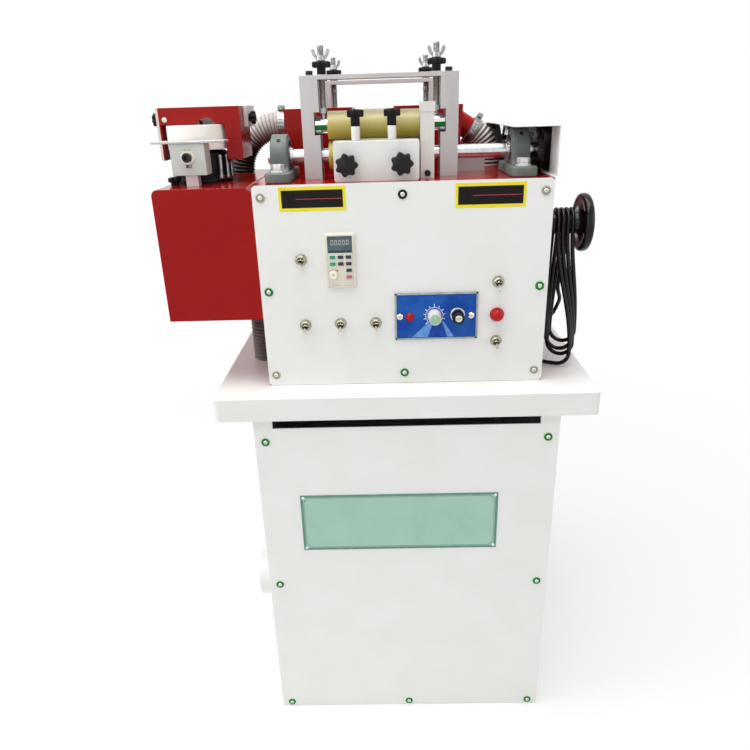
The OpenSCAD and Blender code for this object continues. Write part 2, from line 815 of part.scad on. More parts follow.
module feed_frames() {
    w = post_in + post_w;
    color(grey)
        for (y = [front_y, rear_y])
            translate([feed_x, y, 0]) {
                for (s = [0, 1])
                    mirror([s, 0, 0])
                        difference() {
                            bar(post_in, w, -post_d / 2, post_d / 2, head_top, post_top);
                            rod_x(post_in - 1, w + 1, 0, axis_z, shaft_d / 2 + 0.8);
                            bar(post_in - 1, post_in + 8, -post_d, post_d, upper_z - housing_r - gap,
                                upper_z + lift_travel + housing_r + gap);
                        }
                difference() {
                    bar(-w, w, -post_d / 2, post_d / 2, post_top + seam, plate_top);
                    for (s = [-1, 1])
                        rod_z(post_top - 1, plate_top + 1, s * stud_dx, 0, stud_d / 2 + clear);
                }
            }
}

module sprocket() {
    along_x(chain_x - 2.5, chain_x + 2.5)
        difference() {
            circle(pitch_r + 2.2);
            for (i = [0:teeth - 1])
                rotate((i + 0.5) * 360 / teeth)
                    translate([pitch_r, 0])
                        circle(2.7, $fn = 16);
        }
}

module lower_roller(y) {
    r = roller_len / 2;
    translate([0, y, axis_z]) {
        color(steel) {
            rod_x(-pillow_x - pillow_shift - 20, chain_x + 7, 0, 0, shaft_d / 2);
            sprocket();
        }
        color(amber)
            difference() {
                rod_x(feed_x - r, feed_x + r, 0, 0, roller_d / 2);
                rod_x(feed_x - r - 1, feed_x + r + 1, 0, 0, shaft_d / 2 + 0.02);
            }
    }
}

module upper_roller(y) {
    r = roller_len / 2;
    color(amber)
        difference() {
            rod_x(feed_x - r, feed_x + r, y, upper_z, roller_d / 2);
            rod_x(feed_x - r - 1, feed_x + r + 1, y, upper_z, axle_d / 2 + fit);
        }
}

// axle in its two bearing housings with the lift studs, and the wing nuts on the studs
stud_up = 39;
knob_h = 18;
module lift(y) {
    x0 = roller_len / 2 + 0.4;
    nut_z = plate_top + knob_h + 1;
    color(steel) {
        union() {
            rod_x(feed_x - post_in - 6, feed_x + post_in + 6, y, upper_z, axle_d / 2);
            for (s = [0, 1])
                translate([feed_x, y, upper_z])
                    mirror([s, 0, 0]) {
                        rod_x(x0, post_in + 7.5, 0, 0, housing_r);
                        rod_z(0, plate_top + stud_up - upper_z, stud_dx, 0, stud_d / 2);
                        intersection() {
                            translate([stud_dx, 0, 17])
                                cylinder(h = 7, r = 7.2, $fn = 6);
                            bar(x0, post_in - 0.5, -8, 8, 16, 25);
                        }
                    }
        }
        for (s = [-1, 1])
            translate([feed_x + s * stud_dx, y, nut_z])
                difference() {
                    union() {
                        cylinder(h = 7, r = 6.5);
                        bar(-12, 12, -1.2, 1.2, 3, 14);
                    }
                    translate([0, 0, -1])
                        cylinder(h = 20, r = stud_d / 2 + 0.02);
                    bar(-5, 5, -2, 2, 7, 15);
                }
    }
}

module lift_knob(s, y) {
    color(dark)
        translate([feed_x + s * stud_dx, y, plate_top + gap])
            difference() {
                star(knob_d / 2, 8, 6.5, 10);
                translate([0, 0, -1])
                    cylinder(h = 20, r = stud_d / 2 + fit);
            }
}

gear_x0 = 115;
gear_x1 = 183;
gear_half = 35;
feed_motor_r = 33;
feed_motor_drop = 170;
module feed_motor() {
    color(dark)
        difference() {
            union() {
                bar(gear_x0, gear_x1, motor_y - gear_half, motor_y + gear_half, motor_z - gear_half,
                    head_under);
                rod_z(motor_z - feed_motor_drop, motor_z - gear_half + 1, (gear_x0 + gear_x1) / 2, motor_y,
                    feed_motor_r);
            }
            rod_x(gear_x1 - 40, gear_x1 + 1, motor_y, motor_z, 7 + fit);
        }
}

module motor_sprocket() {
    color(steel)
        translate([0, motor_y, motor_z]) {
            rod_x(gear_x1 - 39, chain_x + 6, 0, 0, 7);
            rod_x(gear_x1 + 1, chain_x, 0, 0, 12);
            sprocket();
        }
}

// chain: two bands of side plates round the three sprockets, rollers in the straight runs
function normal(a, b) = let (d = unit(b - a)) [-d[1], d[0]];
module chain_shape(r) {
    polygon([for (i = [0:2]) each let (a = chain_pts[i], b = chain_pts[(i + 1) % 3])
        [a + r * normal(a, b), b + r * normal(a, b)]]);
    for (p = chain_pts)
        translate(p)
            circle(r);
}

module drive_chain() {
    free = 19;
    color(dark) {
        for (s = [0, 1])
            along_x(chain_x + (s == 0 ? -chain_out : chain_in), chain_x + (s == 0 ? -chain_in : chain_out))
                difference() {
                    chain_shape(pitch_r + chain_h / 2);
                    chain_shape(pitch_r - chain_h / 2);
                }
        for (i = [0:2]) {
            a = chain_pts[i];
            b = chain_pts[(i + 1) % 3];
            d = unit(b - a);
            n = normal(a, b);
            for (k = [0:floor((norm(b - a) - 2 * free) / (2 * pitch))]) {
                p = a + pitch_r * n + (free + k * 2 * pitch) * d;
                rod_x(chain_x - chain_in - 0.5, chain_x + chain_in + 0.5, p[0], p[1], 2.5);
            }
        }
    }
}

guard_x0 = 156;
guard_x1 = head_x + 7;
guard_z = axis_h + 34;
module chain_guard() {
    y0 = head_face + 16;
    y1 = rear_y + 62;
    color(white) {
        bar(guard_x0, guard_x1, y0, y1, head_top + guard_z, head_top + guard_z + 1.5);
        bar(guard_x1 - 1.5, guard_x1, y0, y1, head_top, head_top + guard_z + 1);
        bar(head_x - 2.5, guard_x1, y0, y1, head_top, head_top + 1.5);
    }
}

guide_x0 = feed_x - 67;
guide_x1 = feed_x + 55;
guide_y0 = head_face + 18;
guide_y1 = front_y - roller_d / 2 - 4;
guide_z = head_top + 55;
pin_y = guide_y0 + 22;
module guide_bed() {
    color(grey)
        difference() {
            bar(guide_x0, guide_x1, guide_y0 + 6, guide_y1, head_top, guide_z);
            bar(guide_x0 + 6, guide_x1 - 6, pin_y - 4, pin_y + 4, guide_z - 18, guide_z + 1);
            for (x = [guide_x0 + 19, guide_x1 - 25])
                rod_y(guide_y0, guide_y0 + 15, x, head_top + 24, 4.1);
        }
}

module guide_plate() {
    color(white)
        difference() {
            along_y(guide_y0, guide_y0 + 6)
                round_plate(guide_x0, guide_x1, head_top, guide_z, 4);
            for (x = [guide_x0 + 19, guide_x1 - 25])
                rod_y(guide_y0 - 1, guide_y0 + 7, x, head_top + 24, 4.1);
        }
}

module guide_pin(s) {
    x = strap_x + s * 26;
    color(white) {
        rod_z(guide_z - 16, guide_z + 19.5, x, pin_y, 4 - fit);
        rod_z(guide_z + gap, guide_z + 19, x, pin_y, 6.25);
        translate([x, pin_y, guide_z + 19])
            star(12, 10, 5.5, 12);
    }
}

module support_bars() {
    color(grey) {
        // side guide bar in front of the rollers
        bar(feed_x + 58, feed_x + 78, guide_y1 - 16, guide_y1, head_top, head_top + 104);
        bar(feed_x + 57, feed_x + 79, guide_y1 - 17, guide_y1, head_top + 91, head_top + 104);
        // riser block beside the front right post
        bar(feed_x + post_in + post_w + 5, 134, cover_y0 - 24, cover_y0 - 2, head_top, head_top + 22);
        // post of the station guide
        difference() {
            bar(block_x - post_s_w / 2, block_x + post_s_w / 2, post_s_y, post_s_y + post_s_d, st_top,
                block_z1 - 4 - guide_down - 0.3);
            rod_y(post_s_y - 1, post_s_y + 11, block_x, clamp_z, 4.05);
        }
    }
}

// cover open below, with a window toward the strap; s is -1 left and 1 right
module cover_shape(x, s, in, top) {
    polygon([
        [x + s * in, head_top - 1],
        [x + s * in, head_top + cover_h - top],
        [x + s * (cover_w - in), head_top + cover_h - top],
        [x + s * (cover_w - in - cover_slant), head_top - 1]
    ]);
}

module dust_cover(x, s) {
    difference() {
        along_y(cover_y0, cover_y1)
            intersection() {
                cover_shape(x, s, 0, 0);
                translate([-300, head_top])
                    square([600, cover_h]);
            }
        along_y(cover_y0 + sheet, cover_y1 - sheet)
            cover_shape(x, s, sheet, sheet);
        bar(x - 4, x + 4, wheel_y - 44, wheel_y + 44, wheel_z - 6, wheel_z + wheel_t + 6);
        children();
    }
}

module dust_covers() {
    color(red) {
        union() {
            dust_cover(cover_l, -1)
                rod_x(hose_a_x - 9, cover_l - cover_w + 12, duct_y, hose_a_z, nozzle_r - 2);
            difference() {
                rod_x(hose_a_x - 6, cover_l - cover_w + 3, duct_y, hose_a_z, nozzle_r);
                rod_x(hose_a_x - 9, cover_l - cover_w + 12, duct_y, hose_a_z, nozzle_r - 2);
            }
        }
        difference() {
            union() {
                dust_cover(cover_r, 1)
                    translate(hose_b_top)
                        rotate([0, 90 + tilt_b, 0])
                            translate([0, 0, -60])
                                cylinder(h = 62, r = nozzle_r - 2);
                difference() {
                    translate(hose_b_top)
                        rotate([0, 90 + tilt_b, 0])
                            translate([0, 0, -60])
                                difference() {
                                    cylinder(h = 60, r = nozzle_r);
                                    translate([0, 0, -1])
                                        cylinder(h = 62, r = nozzle_r - 2);
                                }
                    along_y(cover_y0 - 1, cover_y1 + 1)
                        polygon([
                            [cover_r, head_top],
                            [cover_r, head_top + cover_h + 40],
                            [cover_r + cover_w - 1, head_top + cover_h + 40],
                            [cover_r + cover_w - 1, head_top + cover_h],
                            [cover_r + cover_w - cover_slant - 1, head_top]
                        ]);
                }
            }
        }
    }
}

module suction_hoses() {
    color(grey) {
        bored_tube(hose_a_pts, rib_r(len(hose_a_pts)), bore_r, 8, [0, 1, 0]);
        bored_tube(hose_b_pts, rib_r(len(hose_b_pts)), bore_r, 8, [0, 1, 0]);
        bored_tube(hose_c_pts, rib_r(len(hose_c_pts)), bore_r, 8, [0, 1, 0]);
    }
}

module clamp_ring(w) {
    difference() {
        union() {
            cylinder(h = w, r = hose_r + 1.6);
            translate([-8, hose_r - 1, 0])
                cube([16, 9, w]);
        }
        translate([0, 0, -1])
            cylinder(h = w + 2, r = hose_r + 0.1);
    }
}

module hose_clamps() {
    color(steel) {
        translate([hose_a_x + 10, duct_y, hose_a_z])
            rotate([0, -90, 0])
                rotate([0, 0, -90])
                    clamp_ring(12);
        translate(hose_b_top - 8 * hose_b_dir)
            rotate([0, 90 + tilt_b, 0])
                rotate([0, 0, 90])
                    clamp_ring(9);
    }
}

module clamp_knobs() {
    color(dark) {
        for (x = [guide_x0 + 19, guide_x1 - 25])
            translate([x, guide_y0, head_top + 24])
                rotate([90, 0, 0]) {
                    star(16, 10, 8, 8);
                    translate([0, 0, -14])
                        cylinder(h = 15, r = 4);
                }
        for (s = [0, 1])
            translate([(hood_x0 + hood_x1) / 2, pivot_y, pivot_z])
                mirror([s, 0, 0])
                    translate([hood_w / 2 + 0.3 + arm_t, 0, 0])
                        rotate([0, 90, 0]) {
                            star(10, 7, 6, 3);
                            translate([0, 0, -arm_t - 6])
                                cylinder(h = arm_t + 7, r = 4);
                        }
        translate([st_x - 30, head_face + 62, st_top])
            star(9, 7, 6, 4);
        rod_y(block_y0 - 1.8, block_y0 - 0.3, block_x, clamp_z, 10);
        rod_y(block_y0 - 10, block_y0 - 1, block_x, clamp_z, 6.5);
        rod_y(block_y0 - 1, post_s_y + 10, block_x, clamp_z, 4);
    }
}

module station_box() {
    r = 9;
    color(red)
        difference() {
            along_y(st_y0, st_y1)
                union() {
                    translate([st_x0, st_bot])
                        square([station_w, station_h - r]);
                    translate([st_x0 + r, st_bot])
                        square([station_w - 2 * r, station_h]);
                    translate([st_x0 + r, st_top - r])
                        circle(r);
                    polygon([[st_x1 - r, st_top - r - 1], [st_x1, st_top - r - 1], [st_x1, st_top - r],
                        [st_x1 - r, st_top], [st_x1 - r - 1, st_top]]);
                }
            bar(st_x0 + sheet, st_x1 - sheet, st_y0 + sheet, st_y1 - sheet, st_bot + sheet, st_top - r);
            bar(st_x0 + r, st_x1 - r, st_y0 + sheet, st_y1 - sheet, st_top - r - 1, st_top - 3);
            rod_z(st_top - r - 2, st_top + 1, st_x, st_y, st_motor_r + 0.5);
            rod_z(st_top - 4, st_top + 1, hose_a_x - hose_a_bend, duct_y, pipe_r);
            rod_z(st_bot - 1, st_bot + sheet + 1, hose_c_x, hose_c_y, pipe_r);
        }
}

module hood_bracket() {
    y1 = hood_y1 + 14;
    x0 = hood_x0 - 0.3 - arm_t;
    x1 = hood_x1 + 0.3 + arm_t;
    cross_z = pivot_z - 13;
    color(grey)
        difference() {
            union() {
                bar(x0, x0 + arm_t, hood_y0 + 8, y1, hood_z0, hood_z1);
                bar(x1 - arm_t, x1, hood_y0 + 30, y1, cross_z, hood_z1);
                bar(x0, x1, y1 - 6, y1, cross_z, hood_z1 - 8);
                bar(st_x0 + 12, st_x0 + 62, y1 - 6, y1, st_top, cross_z + 1);
                bar(st_x0 + 12, st_x0 + 62, y1 - 6, y1 + 22, st_top, st_top + 6);
            }
            rod_x(x0 - 1, x0 + arm_t + 1, pivot_y, pivot_z, 4.1);
            rod_x(x1 - arm_t - 1, x1 + 1, pivot_y, pivot_z, 4.1);
        }
}

module polish_motors() {
    color(dark) {
        difference() {
            union() {
                rod_z(st_top - st_motor_drop, st_wheel_z - 10, st_x, st_y, st_motor_r);
                rod_z(st_top, st_top + 5, st_x, st_y, st_motor_r + 5);
            }
            rod_z(st_top - 30, st_wheel_z, st_x, st_y, 6 + fit);
        }
        difference() {
            rod_z(head_under - wheel_motor_h, head_under, left_x, wheel_y, wheel_motor_r);
            rod_z(head_under - 40, head_under + 1, left_x, wheel_y, 6 + fit);
        }
    }
}

module station_wheel() {
    color(white) {
        rod_z(st_top - 29, st_wheel_z + st_wheel_t + 9, st_x, st_y, 6);
        rod_z(st_wheel_z, st_wheel_z + st_wheel_t, st_x, st_y, st_wheel_d / 2);
        translate([st_x, st_y, st_wheel_z + st_wheel_t])
            cylinder(h = 6, r = 9, $fn = 6);
    }
}

module station_hood() {
    leg = 24;
    color(red)
        difference() {
            bar(hood_x0, hood_x1, hood_y0, hood_y1, hood_z0, hood_z1);
            bar(hood_x0 + sheet, hood_x1 - sheet, hood_y0 + sheet, hood_y1 + 1, hood_z0 - 1, hood_z1 - sheet);
            bar(hood_x0 + sheet, hood_x1 - leg, hood_y0 - 1, hood_y0 + sheet + 1, hood_z0 - 1, hood_open);
            rod_y(hood_y0 - 1, hood_y0 + sheet + 1, st_x + 20, hood_open - 6, 15);
            rod_y(hood_y0 - 1, hood_y0 + sheet + 1, hood_x0 + 9, pivot_z, 3);
            rod_x(hood_x0 - 1, hood_x1 + 1, pivot_y, pivot_z, 4 + fit);
        }
}

module station_guide() {
    x0 = block_x - block_w / 2;
    x1 = block_x + block_w / 2;
    c = 0.3;
    color(white) {
        difference() {
            bar(x0, x1, block_y0, block_y1, block_z0, block_z1);
            bar(block_x - post_s_w / 2 - c, block_x + post_s_w / 2 + c, post_s_y - c, post_s_y + post_s_d + c,
                block_z0 - 1, block_z1 - 4);
            bar(block_x - 4.3, block_x + 4.3, block_y0 - 1, post_s_y, clamp_z - guide_up - 4.3,
                clamp_z + guide_down + 4.3);
        }
        difference() {
            bar(x0 - 26, x1 + 28, block_y0 - 2, st_y - st_wheel_d / 2 - 4, block_z1 + seam, block_z1 + 3);
            translate([x1 + 4, block_y0 - 2, 0])
                rotate([0, 0, -65])
                    bar(0, 60, -60, 60, block_z1 - 1, block_z1 + 4);
        }
    }
}

module polish_carriage() {
    z1 = head_under - 2;
    z0 = z1 - 10;
    arm_y = wheel_y - carriage_front + 34;
    color(steel)
        difference() {
            union() {
                bar(right_x - carriage_half, right_x + carriage_half, wheel_y - carriage_front,
                    wheel_y + carriage_back, z0, z1);
                bar(right_x - 13, right_x + 13, wheel_y - carriage_front + 10, arm_y, z0 - nut_drop, z0 + 1);
                bar(right_x - 13, right_x + 13, screw_y - 14, arm_y, z0 - nut_drop, z0 - 11);
                bar(right_x - 13, right_x + 13, screw_y - 14, screw_y + 14, screw_z - 15, z0 - 11);
            }
            rod_z(z0 - 1, z1 + 1, right_x, wheel_y, 8);
            rod_x(right_x - 14, right_x + 14, screw_y, screw_z, screw_d / 2 + fit);
        }
    color(dark)
        difference() {
            rod_z(z0 - wheel_motor_h, z0 - seam, right_x, wheel_y, wheel_motor_r);
            rod_z(z0 - 40, z0 + 1, right_x, wheel_y, 6 + fit);
        }
}

module polish_wheel(x, foot) {
    color(white) {
        rod_z(foot, wheel_z + wheel_t + 10, x, wheel_y, 6);
        rod_z(wheel_z, wheel_z + wheel_t, x, wheel_y, wheel_d / 2);
    }
}

module handwheel() {
    color(dark)
        difference() {
            union() {
                rod_x(head_x + 0.3, hand_x + 2, screw_y, screw_z, hub_r);
                rod_x(hand_x, hand_x + 11, screw_y, screw_z, hand_d / 2);
                rod_x(hand_x + 2, hand_x + 14, screw_y, screw_z, hand_d / 2 - 5);
            }
            rod_x(hand_x + 8, hand_x + 15, screw_y, screw_z, hand_d / 2 - 15);
            rod_x(head_x - 1, hand_x + 9, screw_y, screw_z, screw_d / 2 + 0.02);
        }
    color(steel)
        rod_x(right_x - carriage_half - wheel_travel + 5, hand_x + 10, screw_y, screw_z, screw_d / 2);
}

module cord_leads() {
    color(dark) {
        solid_tube(lead_in_pts, cord_d / 2, 6, [0, 1, 0]);
        solid_tube(lead_out_pts, cord_d / 2, 6, [0, 0, 1]);
    }
}

module cord_coil() {
    color(dark)
        solid_tube(hank_pts, cord_d / 2, 6, [1, 0, 0]);
}

module cord_gland() {
    color(dark)
        difference() {
            union() {
                rod_x(head_x, head_x + gland_len, gland_y, gland_z, 10);
                rod_x(head_x - sheet - 6, head_x + 1, gland_y, gland_z, 8);
            }
            rod_x(head_x - sheet - 7, head_x + gland_len + 1, gland_y, gland_z, cord_d / 2 + 0.2);
        }
}

module cord_plug() {
    color(dark)
        difference() {
            union() {
                bar(222, 250, plug_y + 6, plug_y + 46, table_top, table_top + 18);
                rod_y(plug_y - 10, plug_y + 7, 236, lie_z + 3, cord_d / 2 + 2);
                for (s = [-1, 1])
                    bar(236 + s * 7 - 3, 236 + s * 7 + 3, plug_y + 45, plug_y + 64, table_top + 8,
                        table_top + 10);
            }
            rod_y(plug_y - 11, plug_y + 20, 236, lie_z + 3, cord_d / 2 + 0.3);
            translate([236, plug_y - 11, lie_z + 3])
                rotate([-90, 0, 0])
                    cylinder(h = 16, r1 = cord_d / 2 + 1.6, r2 = cord_d / 2 + 0.2);
        }
}

cabinet_shell();
cabinet_front_panel();
table_top_board();  // table_top
dust_ducts();
dust_blower();
blower_impeller();
head_box();
head_front_panel();
panel_screws();
toggle_bodies();
toggle_lever(1);  // toggle_lever_1
toggle_lever(2);  // toggle_lever_2
toggle_lever(3);  // toggle_lever_3
toggle_lever(4);  // toggle_lever_4
toggle_lever(5);  // toggle_lever_5
toggle_lever(6);  // toggle_lever_6
keypad_case();
keypad_dial();
controller_case();
controller_knob();
lamp_lenses();
pillow_blocks();
feed_frames();
lower_roller(front_y);  // front_lower_roller
lower_roller(rear_y);  // rear_lower_roller
upper_roller(front_y);  // front_upper_roller
upper_roller(rear_y);  // rear_upper_roller
lift(front_y);  // front_lift
lift(rear_y);  // rear_lift
lift_knob(-1, front_y);  // front_knob_left
lift_knob(1, front_y);  // front_knob_right
lift_knob(-1, rear_y);  // rear_knob_left
lift_knob(1, rear_y);  // rear_knob_right
feed_motor();
motor_sprocket();
drive_chain();
chain_guard();
guide_bed();
guide_plate();
guide_pin(-1);  // guide_pin_left
guide_pin(1);  // guide_pin_right
support_bars();
dust_covers();
suction_hoses();
hose_clamps();
clamp_knobs();
station_box();
hood_bracket();
polish_motors();
station_wheel();
station_hood();
station_guide();
polish_carriage();
polish_wheel(left_x, head_under - spindle_left);  // polish_wheel_left
polish_wheel(right_x, head_under - spindle_right);  // polish_wheel_right
handwheel();
cord_leads();
cord_coil();
cord_gland();
cord_plug();
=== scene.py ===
from math import atan2, copysign, cos, degrees, hypot, pi, radians, sin

import bmesh
import bpy
from mathutils import Matrix, Vector


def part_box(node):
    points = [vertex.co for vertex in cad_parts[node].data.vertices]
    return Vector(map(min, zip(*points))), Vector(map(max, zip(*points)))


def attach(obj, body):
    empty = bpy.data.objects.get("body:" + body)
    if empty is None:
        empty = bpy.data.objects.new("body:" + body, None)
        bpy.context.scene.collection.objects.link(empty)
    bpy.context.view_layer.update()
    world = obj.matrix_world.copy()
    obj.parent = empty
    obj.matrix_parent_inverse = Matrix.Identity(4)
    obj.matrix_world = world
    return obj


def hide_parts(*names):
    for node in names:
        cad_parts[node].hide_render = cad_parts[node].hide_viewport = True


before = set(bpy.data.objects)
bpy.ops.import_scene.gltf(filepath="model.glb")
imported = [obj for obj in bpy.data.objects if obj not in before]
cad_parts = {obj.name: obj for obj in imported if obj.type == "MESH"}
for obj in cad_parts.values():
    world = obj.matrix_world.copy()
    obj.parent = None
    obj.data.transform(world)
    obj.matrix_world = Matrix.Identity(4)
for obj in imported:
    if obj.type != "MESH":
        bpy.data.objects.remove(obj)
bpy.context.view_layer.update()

# All places and sizes below are in millimetres, in the frame of the CAD model.
MM = 0.001
BASE = "machine"
X, Y, Z = Vector((1, 0, 0)), Vector((0, 1, 0)), Vector((0, 0, 1))


def span(node):
    """Lowest and highest corner of a CAD node."""
    return [Vector(corner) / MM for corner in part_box(node)]


def centre(node):
    """Middle of a CAD node's box."""
    low, high = span(node)
    return (low + high) / 2


TABLE_TOP = span("table_top")[1].z
HEAD_TOP = span("head_box")[1].z
HEAD_SIDE = span("head_box")[1].x
PANEL_FACE = span("head_front_panel")[0].y
CABINET_FACE = span("cabinet_front_panel")[0].y
PLATE_TOP = span("feed_frames")[1].z
FRONT_Y = centre("front_upper_roller").y
REAR_Y = centre("rear_upper_roller").y
FEEDS = (("front", FRONT_Y), ("rear", REAR_Y))
FEED_X, UPPER_Z = centre("front_upper_roller").xz
AXIS_Z = centre("front_lower_roller").z
STATION_TOP = span("station_box")[1].z
SCREW_Y, SCREW_Z = centre("handwheel").yz
ON_PANEL = Matrix.Translation(Y * PANEL_FACE)
ON_CABINET = Matrix.Translation(Y * CABINET_FACE)


# Camera, stage and light

CAMERA_AT = Vector((-24.5, -1166.7, 1049.8))
PITCH, YAW, ROLL = radians(22.361), radians(-1.335), radians(-1.749)
IMAGE_PX = 750
FOCAL_PX = 657.04
SENSOR_MM = 36


def show(name, data):
    """New object in the scene."""
    thing = bpy.data.objects.new(name, data)
    bpy.context.scene.collection.objects.link(thing)
    return thing


def aim_camera():
    """Camera at the place and angles fitted to the photo."""
    forward = Vector((sin(YAW) * cos(PITCH), cos(YAW) * cos(PITCH), -sin(PITCH)))
    right = Vector((cos(YAW), -sin(YAW), 0))
    up = right.cross(forward)
    across = cos(ROLL) * right + sin(ROLL) * up
    above = -sin(ROLL) * right + cos(ROLL) * up
    data = bpy.data.cameras.new("camera")
    data.sensor_width = SENSOR_MM
    data.lens = SENSOR_MM * FOCAL_PX / IMAGE_PX
    camera = show("camera", data)
    turn = Matrix((across, above, -forward)).transposed().to_4x4()
    camera.matrix_world = Matrix.Translation(CAMERA_AT * MM) @ turn
    bpy.context.scene.camera = camera


def linear(code):
    """sRGB hex to linear colour."""
    parts = [int(code[i:i + 2], 16) / 255 for i in (1, 3, 5)]
    return [p / 12.92 if p <= 0.04045 else ((p + 0.055) / 1.055) ** 2.4 for p in parts] + [1.0]


def add(tree, kind, settings, links=()):
    """Adds a shader node.

    settings are attributes, inputs or ramp stops, links are pairs of an input and a socket."""
    node = tree.nodes.new("ShaderNode" + kind)
    for name, value in settings.items():
        if name == "stops":
            for element, (place, colour) in zip(node.color_ramp.elements, value):
                element.position = place
                element.color = colour
        elif isinstance(name, int) or name in node.inputs:
            node.inputs[name].default_value = value
        else:
            setattr(node, name, value)
    for name, socket in links:
        tree.links.new(socket, node.inputs[name])
    return node


def seen_directly(tree):
    """1 for rays from the camera, from gloss and through glass, which show the backdrop as plain white."""
    path = add(tree, "LightPath", {}).outputs
    gloss = add(tree, "Math", {"operation": "ADD"}, [(0, path["Is Camera Ray"]), (1, path["Is Glossy Ray"])])
    both = [(0, gloss.outputs[0]), (1, path["Is Transmission Ray"])]
    return add(tree, "Math", {"operation": "ADD", "use_clamp": True}, both).outputs[0]


SKY = 0.38
SHADOW_FLOOR = 0.5
SHADOW_M = (0.3, 1.8)
FLOOR_M, FLOOR_DROP_M = 60, 0.0005
SOFTBOXES = (
    ("overhead", (-300, -300, 2900), (0, 0, 900), 2.2, 66),
    ("front", (-1300, -2600, 1700), (0, 0, 700), 2.0, 10),
    ("right_fill", (2300, -1200, 1500), (100, 0, 800), 1.6, 12),
    ("left_fill", (-2300, -500, 1900), (-250, -60, 640), 1.4, 24),
)


def light_stage():
    """White world, a floor that takes the shadow, and softboxes of a size in metres and a power in watts."""
    world = bpy.data.worlds.new("white_studio")
    bpy.context.scene.world = world
    world.use_nodes = True
    tree = world.node_tree
    level = add(tree, "Math", {"operation": "MULTIPLY_ADD", 1: 1 - SKY, 2: SKY}, [(0, seen_directly(tree))])
    backdrop = tree.nodes["Background"]
    backdrop.inputs["Color"].default_value = (1, 1, 1, 1)
    tree.links.new(level.outputs[0], backdrop.inputs["Strength"])

    floor_paint = bpy.data.materials.new("pale_studio_floor")
    floor_paint.use_nodes = True
    tree = floor_paint.node_tree
    tree.nodes.remove(tree.nodes["Principled BSDF"])
    matt = add(tree, "BsdfDiffuse", {"Color": linear("#f4f4f3")})
    glow = add(tree, "Emission", {"Strength": 1.0})
    # the floor takes the shadow near the machine and runs out into the white backdrop round it
    place = add(tree, "TexCoord", {}).outputs["Object"]
    away = add(tree, "VectorMath", {"operation": "LENGTH"}, [(0, place)])
    limits = {"From Min": SHADOW_M[0], "From Max": SHADOW_M[1], "To Min": SHADOW_FLOOR, "To Max": 1.0,
              "interpolation_type": "SMOOTHSTEP"}
    spread = add(tree, "MapRange", limits, [("Value", away.outputs["Value"])])
    both = [(0, seen_directly(tree)), (1, spread.outputs[0])]
    share = add(tree, "Math", {"operation": "MULTIPLY"}, both)
    mix = add(tree, "MixShader", {}, [(0, share.outputs[0]), (1, matt.outputs[0]), (2, glow.outputs[0])])
    tree.links.new(mix.outputs[0], tree.nodes["Material Output"].inputs["Surface"])
    bpy.ops.mesh.primitive_plane_add(size=FLOOR_M, location=(0, 0, -FLOOR_DROP_M))
    floor = bpy.context.object
    floor.name = "floor"
    floor.data.materials.append(floor_paint)

    for name, place, target, size, watts in SOFTBOXES:
        data = bpy.data.lights.new(name, "AREA")
        data.size = size
        data.energy = watts
        lamp = show(name, data)
        lamp.location = Vector(place) * MM
        lamp.rotation_euler = (Vector(target) - Vector(place)).to_track_quat("-Z", "Y").to_euler()


# Finishes

# the part of the noise's range in which tone and roughness change
DRIFT = (0.3, 0.7)


def surface(name, tones, patch, rough, grain, depth, sockets=None, stretch=(1, 1, 1), cells=False, shade_below=None):
    """A finish whose tone and roughness drift over patches, with a bumpy grain; patch, grain and depth in mm.

    sockets are settings of the shader, stretch scales the pattern along the axes, and cells draws the grain
    as crystals or dimples. The last argument is painted shade: a tone that takes over below a height, with
    the heights where it is full and where it ends."""
    material = bpy.data.materials.new(name)
    material.use_nodes = True
    tree = material.node_tree
    shader = tree.nodes["Principled BSDF"]
    for socket, value in (sockets or {}).items():
        shader.inputs[socket].default_value = value
    place = add(tree, "TexCoord", {}).outputs["Object"]
    drawn = [("Vector", add(tree, "Mapping", {"Scale": stretch}, [("Vector", place)]).outputs[0])]
    drift = add(tree, "TexNoise", {"Scale": 1 / (patch * MM), "Detail": 3.0}, drawn).outputs["Fac"]
    stops = [(end, linear(tone)) for end, tone in zip(DRIFT, tones)]
    colour = add(tree, "ValToRGB", {"stops": stops}, [("Fac", drift)]).outputs["Color"]
    # painted shade: a tone that takes over below a height
    if shade_below:
        tone, full, ends = shade_below
        height = add(tree, "SeparateXYZ", {}, [(0, place)]).outputs["Z"]
        reach = {"From Min": full * MM, "From Max": ends * MM, "interpolation_type": "SMOOTHSTEP"}
        unshaded = add(tree, "MapRange", reach, [("Value", height)]).outputs[0]
        both = [(0, unshaded), (7, colour)]
        colour = add(tree, "Mix", {"data_type": "RGBA", 6: linear(tone)}, both).outputs[2]
    tree.links.new(colour, shader.inputs["Base Color"])
    limits = {"From Min": DRIFT[0], "From Max": DRIFT[1], "To Min": rough[0], "To Max": rough[1]}
    gloss = add(tree, "MapRange", limits, [("Value", drift)])
    tree.links.new(gloss.outputs[0], shader.inputs["Roughness"])
    relief = add(tree, "TexVoronoi" if cells else "TexNoise", {"Scale": 1 / (grain * MM)}, drawn).outputs[0]
    bump = add(tree, "Bump", {"Distance": depth * MM}, [("Height", relief)])
    tree.links.new(bump.outputs[0], shader.inputs["Normal"])
    return material


METAL = {"Metallic": 1.0}
DULL = {"Specular IOR Level": 0.14}
SOFT_GLOSS = {"Specular IOR Level": 0.3}
MOULDED = {"IOR": 1.5}
ROUND_X = (6, 1, 1)
UPRIGHT = (1, 1, 0.12)

# Powder coat, a resin film baked on steel: satin, with an orange peel drawn at 3 mm so that it shows.
white_coat = surface("white_powder_coat", ("#e6e6e3", "#eaeae8"), 60, (0.36, 0.44), 3.0, 0.03)
# The same coat in pale grey, on the station's guide block.
grey_coat = surface("grey_powder_coat", ("#bfc5bd", "#c7ccc5"), 60, (0.36, 0.44), 3.0, 0.03)
